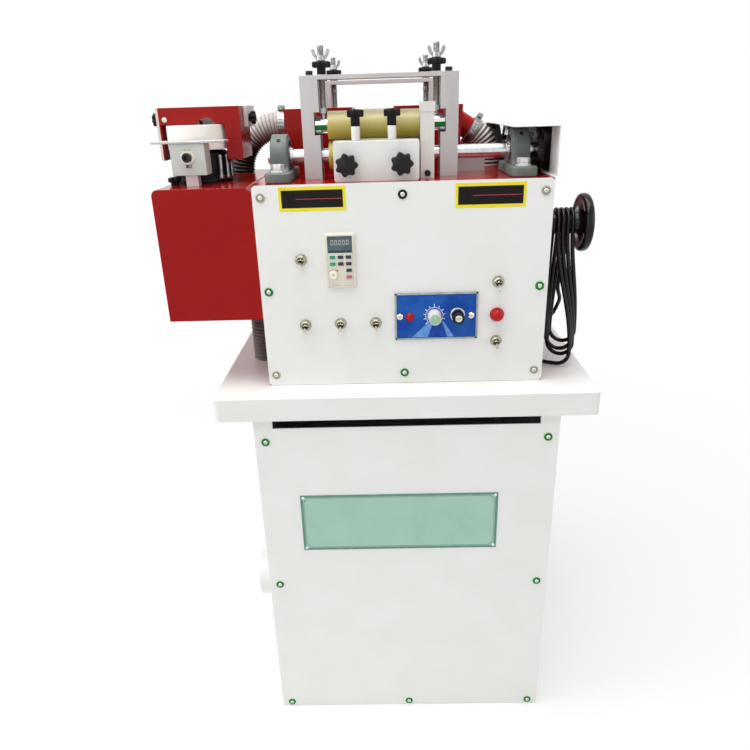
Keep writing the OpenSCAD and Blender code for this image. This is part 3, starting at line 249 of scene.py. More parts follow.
# The same coat in deep red: glossier, with a weak reflection.
red_coat = surface("red_powder_coat", ("#94120f", "#991411"), 45, (0.18, 0.24), 3.0, 0.02, DULL)
# The red coat where it lies flat: it flowed out smoother in the oven and mirrors the room at a low angle.
red_flat = surface("red_powder_coat_flat", ("#8c110e", "#931310"), 45, (0.12, 0.2), 6.0, 0.02)
# Ground shaft steel: bright, with fine rings round the bar.
ground_steel = surface("ground_steel", ("#c9c9cb", "#dedee0"), 14, (0.14, 0.26), 0.6, 0.004, METAL, ROUND_X)
# Nickel plating on small turned parts: mirror bright, slightly warm.
nickel = surface("nickel_plate", ("#cfcbc0", "#e2ded2"), 6, (0.08, 0.2), 1.5, 0.002, METAL)
# The same plating gone dull and yellow on the switch bushings.
dull_nickel = surface("dulled_nickel_plate", ("#8f8a78", "#b4af9d"), 3, (0.22, 0.36), 1.5, 0.004, METAL)
# Hard chrome on the bearing housings: near mirror.
chrome = surface("hard_chrome", ("#dcdcde", "#eeeef0"), 20, (0.05, 0.1), 4, 0.002, METAL)
# Zinc sheet: spangled crystals about 9 mm across, dull.
zinc_sheet = surface("galvanised_sheet", ("#989b9d", "#b4b7b8"), 9, (0.34, 0.5), 9, 0.01, METAL, cells=True)
# Zinc plate on studs and screws: grey, fine.
zinc_plate = surface("zinc_plate", ("#8f9092", "#b3b3b2"), 5, (0.3, 0.42), 1.0, 0.004, METAL)
# Bright zinc on the block bolts: blue-white and freshly plated, so it scatters more than it mirrors.
bright_zinc = surface("bright_zinc_plate", ("#c9cac8", "#dddddb"), 5, (0.34, 0.46), 1.0, 0.004,
                      {"Metallic": 0.45})
# Brass pins of the plug, drawn and plated: pale yellow, bright.
brass = surface("plated_brass", ("#c9b678", "#d8c88e"), 5, (0.18, 0.28), 1.5, 0.004, METAL)
# Extruded aluminium frame of the controller, brushed and clear lacquered: mid grey, dull.
dull_frame = surface("brushed_frame", ("#8d969b", "#a7b0b4"), 10, (0.4, 0.5), 0.8, 0.006, {"Metallic": 0.3})
# Milled aluminium, bead blasted and clear anodised: pale, with faint upright cutter lines.
anodised = surface("bead_blasted_aluminium", ("#b3b0b0", "#bfbcbc"), 30, (0.42, 0.55), 0.9, 0.01,
                   {"Metallic": 0.55}, UPRIGHT)
# The same metal ground and left bare: lighter, with a soft sheen.
ground_aluminium = surface("ground_aluminium", ("#d6d2cd", "#e2dfda"), 30, (0.4, 0.5), 0.9, 0.01,
                           {"Metallic": 0.3}, UPRIGHT)
# Grey-green hammer enamel over cast iron: shallow dimples about 5 mm across.
hammer_enamel = surface("hammer_enamel_cast_iron", ("#5a625e", "#6c746f"), 18, (0.4, 0.52), 5, 0.12,
                        {"Specular IOR Level": 0.35}, cells=True)
# Cast polyurethane sleeve: amber, clear enough to glow from within, with a soft sheen; painted shade makes
# it deeper yellow toward the underside, set by height, so the lower rollers take the deep tone all over.
polyurethane = surface("cast_polyurethane", ("#b8ae76", "#c2b982"), 50, (0.4, 0.5), 4, 0.02, {
    "Subsurface Weight": 1.0, "Subsurface Radius": (0.030, 0.027, 0.004), "Subsurface Scale": 1.0,
    "IOR": 1.49, "Sheen Weight": 0.5, "Sheen Roughness": 0.6, "Coat Weight": 0.7, "Coat Roughness": 0.42,
}, shade_below=("#b9ab14", 1008, 1042))
# Phenolic resin: pressed, deep black with a hard gloss.
phenolic = surface("black_phenolic", ("#0c0b0b", "#141213"), 25, (0.1, 0.18), 2.5, 0.01,
                   {"Specular IOR Level": 0.25})
# Glass-filled nylon on the star knobs: black with a fine moulded grain.
nylon = surface("black_nylon", ("#121012", "#1c191b"), 12, (0.34, 0.5), 1.2, 0.02, DULL)
# Nitrile rubber seal: dull black.
seal_rubber = surface("nitrile_seal", ("#17140f", "#231f18"), 6, (0.5, 0.65), 1.5, 0.02, DULL)
# Black oxide on screws and studs: an oily dark film over steel, with only a weak gloss.
black_oxide = surface("black_oxide_steel", ("#161617", "#262526"), 4, (0.3, 0.42), 1, 0.004,
                      {"Metallic": 0.2, **SOFT_GLOSS})
# The same oxide rubbed through on the stud threads: patchy grey, half of it bare steel.
worn_oxide = surface("worn_black_oxide", ("#6d6a68", "#a9a5a2"), 2, (0.3, 0.42), 1, 0.01, {"Metallic": 0.5})
# Air-dried enamel on the motors' castings: black, slightly rough.
motor_enamel = surface("black_motor_enamel", ("#111213", "#1a1b1c"), 20, (0.3, 0.42), 2.5, 0.03, DULL)
# Rolled chain steel under oil: brown-black, with wet glints.
chain_oil = surface("oiled_chain_steel", ("#211f1c", "#3a3631"), 5, (0.26, 0.44), 1.0, 0.01,
                    {"Metallic": 0.85})
# Painted shade on the inside of the guard: a black-brown film, glossier in patches.
guard_painted_shade = surface("guard_inside_painted_shade", ("#12100a", "#231f16"), 12, (0.3, 0.5), 3, 0.02, DULL)
# ABS in beige, moulded in a sparked tool: even, with a low sheen.
beige_abs = surface("beige_abs", ("#d8d3c4", "#dfdbcd"), 20, (0.4, 0.5), 1.0, 0.015, MOULDED)
# The same plastic in the shade of a seam: darker and dead matt.
seam_shade = surface("beige_abs_seam", ("#a9a594", "#b5b1a0"), 8, (0.5, 0.6), 1.0, 0.015, DULL)
# ABS from polished tools, on the dial, a washer, the knob and its cap: smooth, with a clear highlight.
ivory_abs = surface("ivory_abs", ("#ece7d4", "#f2eee0"), 8, (0.28, 0.36), 1.2, 0.01, MOULDED)
grey_abs = surface("grey_abs", ("#c4c9c6", "#d3d7d4"), 8, (0.3, 0.4), 1.2, 0.01, MOULDED)
green_abs = surface("green_abs", ("#8fb596", "#9dc2a2"), 6, (0.35, 0.45), 1.2, 0.01, MOULDED)
# Screen printed aluminium plate: flat inks under a thin clear film.
blue_print = surface("blue_screen_print", ("#103d9c", "#2361b0"), 34, (0.24, 0.3), 2, 0.004, DULL)
pale_print = surface("pale_blue_screen_print", ("#4f86cc", "#77a6dc"), 10, (0.24, 0.3), 2, 0.004, DULL)
white_print = surface("white_screen_print", ("#dfe7f2", "#eef2f8"), 6, (0.3, 0.36), 2, 0.004)
red_print = surface("red_screen_print", ("#b3312f", "#c23a37"), 6, (0.3, 0.36), 2, 0.004)
rose_print = surface("rose_screen_print", ("#d8b0bc", "#e0bcc6"), 6, (0.3, 0.36), 2, 0.004)
# Polycarbonate window over a dark display, and the display's pale segments: smooth and clear.
smoked_window = surface("smoked_polycarbonate", ("#4b5a5b", "#5d6f76"), 14, (0.08, 0.14), 8, 0.002, DULL)
lit_segment = surface("display_segment", ("#b4b8b4", "#c6c9c4"), 4, (0.3, 0.36), 2, 0.002)
# Silicone rubber keys, moulded: matt.
green_key = surface("green_silicone", ("#12886a", "#189474"), 4, (0.5, 0.6), 0.8, 0.02)
black_key = surface("black_silicone", ("#14232f", "#1c2c39"), 4, (0.5, 0.6), 0.8, 0.02)
rose_key = surface("rose_silicone", ("#a8627a", "#b26d84"), 4, (0.5, 0.6), 0.8, 0.02)
# Acrylic lamp lens: clear red, glossy.
red_acrylic = surface("red_acrylic", ("#a8060b", "#b80a10"), 8, (0.06, 0.12), 6, 0.01,
                      {"Transmission Weight": 0.1, "IOR": 1.49, "Specular IOR Level": 0.2})
# Nylon, turned for the pins' sleeves and moulded for the cup washers: waxy, with a soft highlight.
white_nylon = surface("white_nylon_sleeve", ("#e9e7e2", "#f1efeb"), 9, (0.35, 0.45), 1.2, 0.01, MOULDED)
green_nylon = surface("green_nylon_washer", ("#1c7431", "#27843d"), 4, (0.35, 0.45), 1, 0.01, DULL)
grey_nylon = surface("grey_nylon_washer", ("#8d8d82", "#a3a297"), 4, (0.35, 0.45), 1, 0.01)
# Label plates, printed vinyl film: flat colour with a slight gloss.
yellow_vinyl = surface("yellow_vinyl", ("#e3d312", "#ecdd20"), 20, (0.3, 0.36), 2, 0.004)
black_vinyl = surface("black_vinyl", ("#12100f", "#1a1716"), 20, (0.24, 0.32), 2, 0.004, DULL)
# Nameplate, stoved enamel on sheet: even pale green, with a border in a deeper green.
mint_enamel = surface("mint_enamel_plate", ("#a0c4b3", "#a5c9b8"), 40, (0.26, 0.34), 3, 0.006, DULL)
sage_line = surface("sage_enamel_line", ("#5f8a7a", "#6c9788"), 15, (0.26, 0.34), 3, 0.006, DULL)
# Soft vinyl suction hose: dull, chalky on the crests.
hose_vinyl = surface("soft_vinyl_hose", ("#b5aeab", "#cbc5c2"), 9, (0.42, 0.58), 1.4, 0.04)
# The same hose, darkening to brown toward its foot: painted shade where it runs down behind the hood.
hose_with_painted_shade = surface("vinyl_hose_painted_shade", ("#b5aeab", "#cbc5c2"), 9, (0.42, 0.58), 1.4, 0.04,
                      shade_below=("#180c07", 980, 1016))
# The same hose under the station: grey-brown all over.
dark_hose = surface("dark_vinyl_hose", ("#463f3c", "#615956"), 9, (0.42, 0.58), 1.4, 0.04)
# Painted shade between the ribs: dull grey, darker toward the foot.
groove_painted_shade = surface("hose_groove_painted_shade", ("#7d7471", "#958c89"), 9, (0.5, 0.65), 1.4, 0.04,
                      shade_below=("#180c07", 975, 1010))
# Pressed wool felt: matt, with fibres drawn at 0.9 mm so that they show.
wool_felt = surface("pressed_wool_felt", ("#f3f0e8", "#fbf9f3"), 7, (0.85, 0.95), 0.9, 0.18,
                    {"Sheen Weight": 0.25, "Sheen Roughness": 0.5})
# Mains cord: soft black vinyl with a slight gloss from wear.
cord_vinyl = surface("black_cord_vinyl", ("#070708", "#0f0f0f"), 12, (0.12, 0.2), 1.5, 0.01, SOFT_GLOSS)


# Mesh making

def loft(bm, rings, mat=0, closed=False):
    """Skin over rings of equal count, capped at both ends unless the last ring joins the first.

    mat is one material index, or a tuple of them that repeats along the rings."""
    cycle = mat if isinstance(mat, tuple) else (mat,)
    rows = [[bm.verts.new(point) for point in ring] for ring in rings]
    count = len(rows[0])
    for k, (a, b) in enumerate(zip(rows, rows[1:] + (rows[:1] if closed else []))):
        for i in range(count):
            j = (i + 1) % count
            bm.faces.new((a[i], a[j], b[j], b[i])).material_index = cycle[k % len(cycle)]
    if not closed:
        bm.faces.new(rows[0][::-1]).material_index = cycle[0]
        bm.faces.new(rows[-1]).material_index = cycle[0]


def circle(radius, steps, corners=0, lobes=0, dip=0.0):
    """Points of a circle, a polygon with that many corners, or a star with lobes."""
    points = []
    for i in range(steps):
        a = 2 * pi * i / steps
        r = radius
        if corners:
            half = pi / corners
            r = radius * cos(half) / cos(a % (2 * half) - half)
        if lobes:
            r = radius * (1 - dip * (0.5 - 0.5 * cos(lobes * a)))
        points.append((r * cos(a), r * sin(a)))
    return points


def arc(radius, x, z, angles):
    """Points of an arc about a point, at angles in degrees."""
    return [(x + radius * cos(radians(a)), z + radius * sin(radians(a))) for a in angles]


def rounded_outline(half_x, half_y, corner, steps=8):
    """Rectangle with round corners, about the origin."""
    points = []
    for i, (sx, sy) in enumerate(((1, 1), (-1, 1), (-1, -1), (1, -1))):
        turns = [90 * i + 90 * k / steps for k in range(steps + 1)]
        points += arc(corner, sx * (half_x - corner), sy * (half_y - corner), turns)
    return points


def lathe(bm, profile, at, axis=Z, steps=36, mat=0, closed=False, lobes=0, dip=0.0):
    """Turns a profile of (radius, height[, corners]) about an axis through a point."""
    way, at = Z.rotation_difference(Vector(axis)).to_matrix(), Vector(at)
    rings = []
    for radius, height, *corners in profile:
        flat = circle(radius, steps, corners[0] if corners else 0, lobes, dip)
        rings.append([at + way @ Vector((u, v, height)) for u, v in flat])
    loft(bm, rings, mat, closed)


def block(bm, low, high, soft=0.6, mat=0):
    """Box with softened edges."""
    low, high = Vector(low), Vector(high)
    fit = Matrix.Translation((low + high) / 2) @ Matrix.Diagonal((*(high - low), 1))
    made = bmesh.ops.create_cube(bm, size=1, matrix=fit)["verts"]
    for face in {f for v in made for f in v.link_faces}:
        face.material_index = mat
    edges = list(dict.fromkeys(e for v in made for e in v.link_edges))
    bmesh.ops.bevel(bm, geom=edges, offset=soft, segments=2, profile=0.5, affect="EDGES")


def front_plate(bm, outline, y0, y1, mat=0):
    """Flat plate on a front face: outline in X and Z, from y0 to y1."""
    loft(bm, [[(x, y, z) for x, z in outline] for y in (y0, y1)], mat)


def sheet(bm, x0, x1, z0, z1, y0, y1, mat=0):
    """Rectangular plate on a front face."""
    front_plate(bm, [(x0, z0), (x1, z0), (x1, z1), (x0, z1)], y0, y1, mat)


def border(bm, outer, inner, y0, y1, mat):
    """Flat frame on a front face, between two outlines of equal count."""
    rings = [[(x, y, z) for x, z in outline] for outline, y in
             ((outer, y1), (outer, y0), (inner, y0), (inner, y1))]
    loft(bm, rings, mat, closed=True)


def path_length(path):
    return sum((b - a).length for a, b in zip(path, path[1:]))


def evenly(path, count):
    """Points that divide a path into equal lengths."""
    length = [0.0]
    for a, b in zip(path, path[1:]):
        length.append(length[-1] + (b - a).length)
    points, i = [], 0
    for k in range(count + 1):
        s = length[-1] * k / count
        while i < len(path) - 2 and length[i + 1] < s:
            i += 1
        points.append(path[i].lerp(path[i + 1], (s - length[i]) / (length[i + 1] - length[i])))
    return points


def tube(bm, path, radii, sides, mat=0, bore=0.0):
    """Tube along points with a radius for each; a bore makes it hollow."""
    side = None
    outer, inner = [], []
    for i, (point, radius) in enumerate(zip(path, radii)):
        way = (path[min(i + 1, len(path) - 1)] - path[max(i - 1, 0)]).normalized()
        side = side or (Y if abs(way.y) < 0.9 else X)
        side = (side - side.dot(way) * way).normalized()
        other = way.cross(side)
        for rings, r in ((outer, radius), (inner, bore)):
            rings.append([point + u * side + v * other for u, v in circle(r, sides)])
    loft(bm, outer + inner[::-1] if bore else outer, mat, closed=bool(bore))


def piece(name, bm, materials, body=BASE, replaces=(), matrix=None, smooth=40):
    """Turns a mesh in millimetres into a piece that rides on a body."""
    if matrix is not None:
        bmesh.ops.transform(bm, matrix=matrix, verts=bm.verts)
    bmesh.ops.recalc_face_normals(bm, faces=bm.faces)
    bmesh.ops.scale(bm, vec=(MM, MM, MM), verts=bm.verts)
    return settle(name, bm, materials, body, replaces, smooth)


def moving(node, bm, materials, matrix=None):
    """Piece that takes the place of a node on the body of the same name."""
    return piece(node + "_dressed", bm, materials, node, [node], matrix)


def settle(name, bm, materials, body, replaces, smooth):
    """Makes the object from a mesh in metres, with sharp edges above an angle in degrees."""
    mesh = bpy.data.meshes.new(name)
    bm.to_mesh(mesh)
    bm.free()
    for material in materials if isinstance(materials, list) else [materials]:
        mesh.materials.append(material)
    mesh.shade_smooth()
    mesh.set_sharp_from_angle(angle=radians(smooth))
    thing = show(name, mesh)
    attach(thing, body)
    if replaces:
        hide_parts(*replaces)
    return thing


def islands(bm):
    """Groups of vertices that hang together."""
    left, groups = set(bm.verts), []
    while left:
        stack = [left.pop()]
        group = set(stack)
        while stack:
            for edge in stack.pop().link_edges:
                other = {v for v in edge.verts if v in left}
                left -= other
                group |= other
                stack.extend(other)
        groups.append(group)
    return groups


SAME_POINT = 0.001
# angles in degrees: faces that merge, edges that are rounded, edges that shade smooth
FLAT, SHARP, SMOOTH = 0.5, 32, 50


def softened(node, edge, materials, paint=None, body=BASE, below=None):
    """The CAD node's own shape with its sharp edges broken by a small radius.

    paint gives a face's material from its centre and normal, below leaves out loose solids that start above
    that height."""
    bm = bmesh.new()
    bm.from_mesh(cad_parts[node].data)
    bmesh.ops.remove_doubles(bm, verts=bm.verts, dist=SAME_POINT * MM)
    if below:
        loose = set().union(*(g for g in islands(bm) if min(v.co.z for v in g) >= below * MM))
        bmesh.ops.delete(bm, geom=[v for v in bm.verts if v in loose], context="VERTS")
    bmesh.ops.dissolve_limit(bm, angle_limit=radians(FLAT), verts=bm.verts, edges=bm.edges)
    sharp = [e for e in bm.edges if len(e.link_faces) == 2 and e.calc_face_angle(0) > radians(SHARP)]
    bmesh.ops.bevel(bm, geom=sharp, offset=edge * MM, segments=2, profile=0.5, affect="EDGES",
                    clamp_overlap=True)
    for face in bm.faces if paint else []:
        face.material_index = paint(face.calc_center_median() / MM, face.normal)
    thing = settle(node + "_dressed", bm, materials, body, [node], SMOOTH)
    thing.modifiers.new("flat_faces", "WEIGHTED_NORMAL").keep_sharp = True


# Mains cord: out of the gland, in a hank over the handwheel's hub, along the table to the plug

CORD_D = 6.5
HUB_R = 16.5
HANK_X = HEAD_SIDE + 33
LOOP_R = HUB_R + CORD_D / 2 + 0.8
LOOP_STEP = 7.5
HANK_FOOT = TABLE_TOP + 2 + CORD_D / 2 + LOOP_R
HANK_SWAY, HANK_TURN = 10, radians(60)
# how far the foot of each loop hangs above the lowest
FOOT_RISE = (0, 33, 12, 24, 0)
RING_FIRST, RING_LAST, FINER = 2, 92, 4
GLAND_AT = Vector((HEAD_SIDE, -70, TABLE_TOP + 50))
GLAND_END = GLAND_AT + 16 * X
PLUG_X, PLUG_Y = 236, 130
LIE_Z = TABLE_TOP + CORD_D / 2 + 0.6


def hank_point(q):
    """Point of the hank; 24 steps make one loop: up, over the hub, down and round the foot."""
    k = q % 24
    foot = HANK_FOOT + FOOT_RISE[int((q + 12) / 24)]
    drop = SCREW_Z - foot
    turn = radians(22.5)
    if k < 4:
        v, z = LOOP_R, foot + drop * k / 4
    elif k < 12:
        v, z = LOOP_R * cos((k - 4) * turn), SCREW_Z + LOOP_R * sin((k - 4) * turn)
    elif k < 16:
        v, z = -LOOP_R, SCREW_Z - drop * (k - 12) / 4
    else:
        v, z = -LOOP_R * cos((k - 16) * turn), foot - LOOP_R * sin((k - 16) * turn)
    u = LOOP_STEP * ((RING_FIRST + RING_LAST) / 2 - q) / 24
    s = min(1, max(0, (SCREW_Z - z) / (SCREW_Z - HANK_FOOT)))
    ease = s * s * (3 - 2 * s)
    a = HANK_TURN * ease
    x = HANK_X + HANK_SWAY * ease + u * cos(a) - v * sin(a)
    return Vector((x, SCREW_Y + u * sin(a) + v * cos(a), z))


def smooth_route(points, steps=6):
    """Smooth curve through all but the first and last of the points."""
    points = [Vector(p) for p in points]
    route = []
    for a, b, c, d in zip(points, points[1:], points[2:], points[3:]):
        for j in range(steps):
            t = j / steps
            route.append(0.5 * (2 * b + (c - a) * t + (2 * a - 5 * b + 4 * c - d) * t * t
                                + (3 * b - a - 3 * c + d) * t * t * t))
    return route + [points[-2]]


LEAD_IN = [
    GLAND_END - 20 * X,
    GLAND_END,
    (249, -71, GLAND_AT.z + 9),
    (260, -76, GLAND_AT.z + 22),
    (264, -84, GLAND_AT.z + 37),
    (263, -98, GLAND_AT.z + 53),
    hank_point(RING_FIRST),
    hank_point(RING_FIRST + 1),
]
LEAD_OUT = [
    hank_point(RING_LAST - 1),
    hank_point(RING_LAST),
    (234, -138, LIE_Z + 1),
    (223, -122, LIE_Z),
    (220, -100, LIE_Z),
    (221, -40, LIE_Z),
    (230, 40, LIE_Z),
    (PLUG_X, PLUG_Y - 30, LIE_Z),
    (PLUG_X, PLUG_Y, LIE_Z + 3),
    (PLUG_X, PLUG_Y + 30, LIE_Z + 5),
]


def mains_cord():
    """The cord as one curve, with its plug and gland."""
    steps = (RING_LAST - RING_FIRST) * FINER
    hank = [hank_point(RING_FIRST + i / FINER) for i in range(1, steps)]
    route = smooth_route(LEAD_IN) + hank + smooth_route(LEAD_OUT)
    curve = bpy.data.curves.new("mains_cord", "CURVE")
    curve.dimensions = "3D"
    curve.bevel_depth = CORD_D / 2 * MM
    curve.bevel_resolution = 5
    curve.use_fill_caps = True
    line = curve.splines.new("POLY")
    line.points.add(len(route) - 1)
    for knot, point in zip(line.points, route):
        knot.co = (*(point * MM), 1)
    curve.materials.append(cord_vinyl)
    cord = show("mains_cord", curve)
    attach(cord, BASE)
    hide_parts("cord_leads", "cord_coil")
    plug()
    gland(route)


# distance along the plug, half width and half height
PLUG_RINGS = [(6, 7, 7.5), (10, 10, 8.4), (18, 12.5, 9), (28, 11.6, 9), (38, 14, 9), (44, 14, 9), (46, 13, 8)]
PLUG_MID = 9


def plug():
    """Two-pin plug: moulded body with a waisted grip, flat pins and a ribbed sleeve."""
    bm = bmesh.new()
    turns = [2 * pi * i / 40 for i in range(40)]
    loft(bm, [[(half_w * pull(cos(a)), y, PLUG_MID + half_h * pull(sin(a))) for a in turns]
              for y, half_w, half_h in PLUG_RINGS])
    sleeve = [(5.2 - 0.4 * (i % 2) - 0.06 * (20 - i), i * 1.2 - 16) for i in range(20)]
    lathe(bm, sleeve, (0, 0, LIE_Z + 3 - TABLE_TOP), Y, 24)
    for pin in (-7, 7):
        block(bm, (pin - 3, 45, PLUG_MID - 1), (pin + 3, 64, PLUG_MID + 1), 0.5, 1)
    return piece("mains_plug", bm, [phenolic, brass], replaces=["cord_plug"],
                 matrix=Matrix.Translation((PLUG_X, PLUG_Y, TABLE_TOP)))


def pull(value):
    """Squares up a circle into a rounded box."""
    return copysign(abs(value) ** 0.45, value)


def gland(route):
    """Cable gland on the head's side: hexagon, dome nut and a ribbed boot that bends with the cord."""
    bm = bmesh.new()
    lathe(bm, [(9.6, 0.02, 6), (10, 0.6, 6), (10, 4.6, 6), (9.6, 5, 6)], GLAND_AT, X)
    lathe(bm, [(8.6, 5), (9.2, 5.4), (9.2, 9), (8.6, 11), (7, 12.6), (5.4, 13)], GLAND_AT, X)
    lathe(bm, [(8, -7), (8, 0.1)], GLAND_AT, X)
    boot = [GLAND_AT + X * 12, GLAND_AT + X * 14] + route[:14]
    tube(bm, boot, [5.4 - 0.1 * i - (0.5 if i % 2 else 0) for i in range(len(boot))], 20)
    piece("cord_gland_boot", bm, nylon, replaces=["cord_gland"])


# Cabinet, table and head

WHITE_SHEETS = (("cabinet_shell", 0.9), ("cabinet_front_panel", 0.6), ("table_top", 2.6), ("dust_ducts", 0.6),
                ("head_front_panel", 0.6), ("chain_guard", 0.4))
GUARD_SHEET = 1.5
SHADE_SHEET_START = 48


def lies_flat(at, normal):
    return int(normal.z > 0.9)


def cabinet_and_head():
    """Coated shells and covers, the zinc blower, and a sheet of painted shade on the inside of the chain
    guard.
    """
    for node, edge in WHITE_SHEETS:
        softened(node, edge, white_coat)
    softened("dust_blower", 0.8, zinc_sheet)
    softened("blower_impeller", 0.3, zinc_sheet, body="blower_impeller")
    softened("head_box", 0.9, [red_coat, red_flat], lies_flat)
    softened("dust_covers", 0.9, red_coat)
    # a thin black-brown sheet on the guard's inner wall: painted shade
    low, high = span("chain_guard")
    wall = high.x - GUARD_SHEET
    bm = bmesh.new()
    block(bm, (wall - 0.25, low.y + SHADE_SHEET_START, low.z + 2), (wall + 0.05, high.y - 4, high.z - 2), 0.1)
    piece("guard_painted_shade_sheet", bm, guard_painted_shade)


# X, Z and the washer's material: 1 green, 2 grey, 3 black
CABINET_SCREWS = [(-221, 10, 1), (221, 10, 1), (-221, 286, 1), (221, 286, 1), (-221, 564, 1), (221, 564, 1),
                  (0, 10, 1)]
HEAD_SCREWS = [(-203, 793, 1), (203, 793, 1), (0, 658, 1), (-203, 658, 2), (203, 658, 2), (-203, 931, 2),
               (203, 931, 2), (0, 931, 3)]


def panel_screws():
    """Pan head screws with a cross recess, each in a coloured nylon cup washer."""
    bm = bmesh.new()
    cup = [(3.6, 0), (6.7, 0), (6.5, 1.2), (5.6, 1.9), (4.5, 1.7), (3.6, 1.0)]
    head = [(3.5, 0.3), (3.5, 1.2), (3.0, 2.2), (2.0, 2.7), (1.5, 2.7, 4), (0.6, 1.4, 4)]
    for face, screws in ((CABINET_FACE, CABINET_SCREWS), (PANEL_FACE, HEAD_SCREWS)):
        for x, z, washer in screws:
            lathe(bm, cup, (x, face, z), -Y, 28, washer, closed=True)
            lathe(bm, head, (x, face, z), -Y, 24)
            lathe(bm, [(2, 0), (2, 8)], (x, face - 0.3, z), Y, 16)
    piece("panel_screws_dressed", bm, [nickel, green_nylon, grey_nylon, nylon],
          replaces=["panel_screws"])


# Control panel

TOGGLES = [(-151, 841), (-151, 740), (-97, 741), (-43, 741), (141, 801), (141, 708)]
TOGGLE_PIVOT = 5
LEVER_LEN = 21
LEVER_TILT = radians(20)


def toggle_switches():
    """Bat-handle toggles: switch body behind the panel, hexagon nut, threaded bushing and a plated lever."""
    ridges = [(5.8 - 0.35 * (i % 2), 3.4 + 0.4 * i) for i in range(11)]
    bush = [(5.8, -2)] + ridges + [(5.6, 8), (5.2, 8), (4.9, 7.7), (4.9, -3)]
    bm = bmesh.new()
    for x, z in TOGGLES:
        at = (x, 0, z)
        block(bm, (x - 7, 2, z - 12), (x + 7, 24, z + 12), 1, 1)
        lathe(bm, [(8.6, 0.02), (9, 0.2), (9, 0.9), (8.4, 1.1)], at, -Y, 40)
        lathe(bm, [(7.6, 1.1, 6), (8, 1.4, 6), (8, 3.0, 6), (7.4, 3.4, 6)], at, -Y)
        lathe(bm, bush, at, -Y, 32)
        # a black sleeve in each bushing's bore: painted shade in the hole
        lathe(bm, [(4.9, -2.9), (4.9, 7.4), (4.3, 7.2), (4.0, -2.9)], at, -Y, 32, 1, closed=True)
    piece("toggle_bushings", bm, [dull_nickel, phenolic], replaces=["toggle_bodies"],
          matrix=ON_PANEL)
    axis = (0, -cos(LEVER_TILT), -sin(LEVER_TILT))
    stem = [(1.7, 1), (1.8, LEVER_LEN - 10), (2.5, LEVER_LEN - 6), (2.9, LEVER_LEN - 2)]
    tip = [(2.7, LEVER_LEN - 0.8), (1.9, LEVER_LEN - 0.2), (0.6, LEVER_LEN)]
    for i, (x, z) in enumerate(TOGGLES, 1):
        bm = bmesh.new()
        at = (x, -TOGGLE_PIVOT, z)
        lathe(bm, arc(2.7, 0, 0, range(-85, 60, 12)), at, axis, 24)
        lathe(bm, stem + tip, at, axis, 24)
        lathe(bm, [(1.2, -5.3), (1.2, 5.3)], at, X, 16)
        moving(f"toggle_lever_{i}", bm, nickel, ON_PANEL)


KEYPAD_HALF_W, KEYPAD_HALF_H, KEYPAD_OUT = 22.5, 40.75, 5
ON_KEYPAD = Matrix.Translation((-92.5, PANEL_FACE - KEYPAD_OUT, 838.5))
KEY_COLUMNS = (-11.4, 0.6, 12.2)
KEY_PITCH, KEY_FIRST = 9.8, 6.1
# column, row and material: 3 green, 4 black, 5 rose
KEYS = [(0, 0, 3), (0, 1, 3), (1, 0, 4), (1, 1, 4), (2, 0, 4), (2, 1, 4), (2, 2, 4), (2, 3, 5)]
DIAL_X, DIAL_Z = -11, -19.5


def keypad():
    """Drive keypad: beige frame, window with digits at zero, rubber keys and the arrow over the dial."""
    bm = bmesh.new()
    w, h = KEYPAD_HALF_W, KEYPAD_HALF_H
    sides = [(0, KEYPAD_OUT - 0.02), (0.2, 2), (0.9, 0.8), (1.7, 0.2), (2.6, 0)]
    loft(bm, [[(x, y, z) for x, z in rounded_outline(w - inset, h - inset, 3.6)] for inset, y in sides])
    block(bm, (5 - w, KEYPAD_OUT - 1, 5 - h), (w - 5, KEYPAD_OUT + 26, h - 5))
    seam = [rounded_outline(w - inset, h - inset, 2.4) for inset in (4.0, 4.5)]
    border(bm, *seam, -0.05, 0.2, 7)
    sheet(bm, -17.8, 17.8, 12.3, 36.5, -0.25, 0.5, 4)
    sheet(bm, -17.3, 17.3, 12.8, 36, -0.4, 0.4, 1)
    for i in range(5):
        digit_zero(bm, 5.6 * i - 11.2, 27.5, -0.45)
    for i in range(4):
        x = 8.4 * i - 12.6
        sheet(bm, x - 3.5, x + 3.5, 13.1, 15.9, -0.45, 0, 4)
    for column, row, colour in KEYS:
        x, z = KEY_COLUMNS[column], KEY_FIRST - KEY_PITCH * row
        block(bm, (x - 4.8, -1.2, z - 3.3), (x + 4.8, 1, z + 3.3), 0.7, colour)
    # a pale field round the last key, and the red arrow over the dial
    sheet(bm, x - 5.2, x + 5.2, z - 4, z + 4, -0.06, 0.2, 8)
    turns = range(40, 150, 10)
    arrow = arc(7.6, DIAL_X, DIAL_Z, turns) + arc(6.9, DIAL_X, DIAL_Z, reversed(turns))
    head = [(DIAL_X + 4.2, DIAL_Z + 4.6), (DIAL_X + 7.6, DIAL_Z + 4.0), (DIAL_X + 6.6, DIAL_Z + 7.2)]
    for outline in (arrow, head):
        front_plate(bm, outline, -0.06, 0.2, 6)
    colours = [beige_abs, smoked_window, lit_segment, green_key, black_key, rose_key, red_print, seam_shade,
               rose_print]
    piece("keypad_dressed", bm, colours, replaces=["keypad_case"], matrix=ON_KEYPAD)
    bm = bmesh.new()
    at = (DIAL_X, 0, DIAL_Z)
    knob = [(2, -7), (2, 0.2), (5.8, 0.3), (6.0, 0.8), (5.8, 5.2), (5.3, 6), (3.9, 6), (3.5, 5.6), (1, 5.6)]
    lathe(bm, knob, at, -Y, 40, lobes=20, dip=0.03)
    lathe(bm, [(1.4, 5.5), (1.4, 5.75), (1.1, 5.8)], at, -Y, 20, 1)
    block(bm, (DIAL_X - 0.25, -5.75, DIAL_Z + 1), (DIAL_X + 0.25, -5.5, DIAL_Z + 3.2), 0.1, 1)
    moving("keypad_dial", bm, [ivory_abs, seam_shade], ON_KEYPAD)


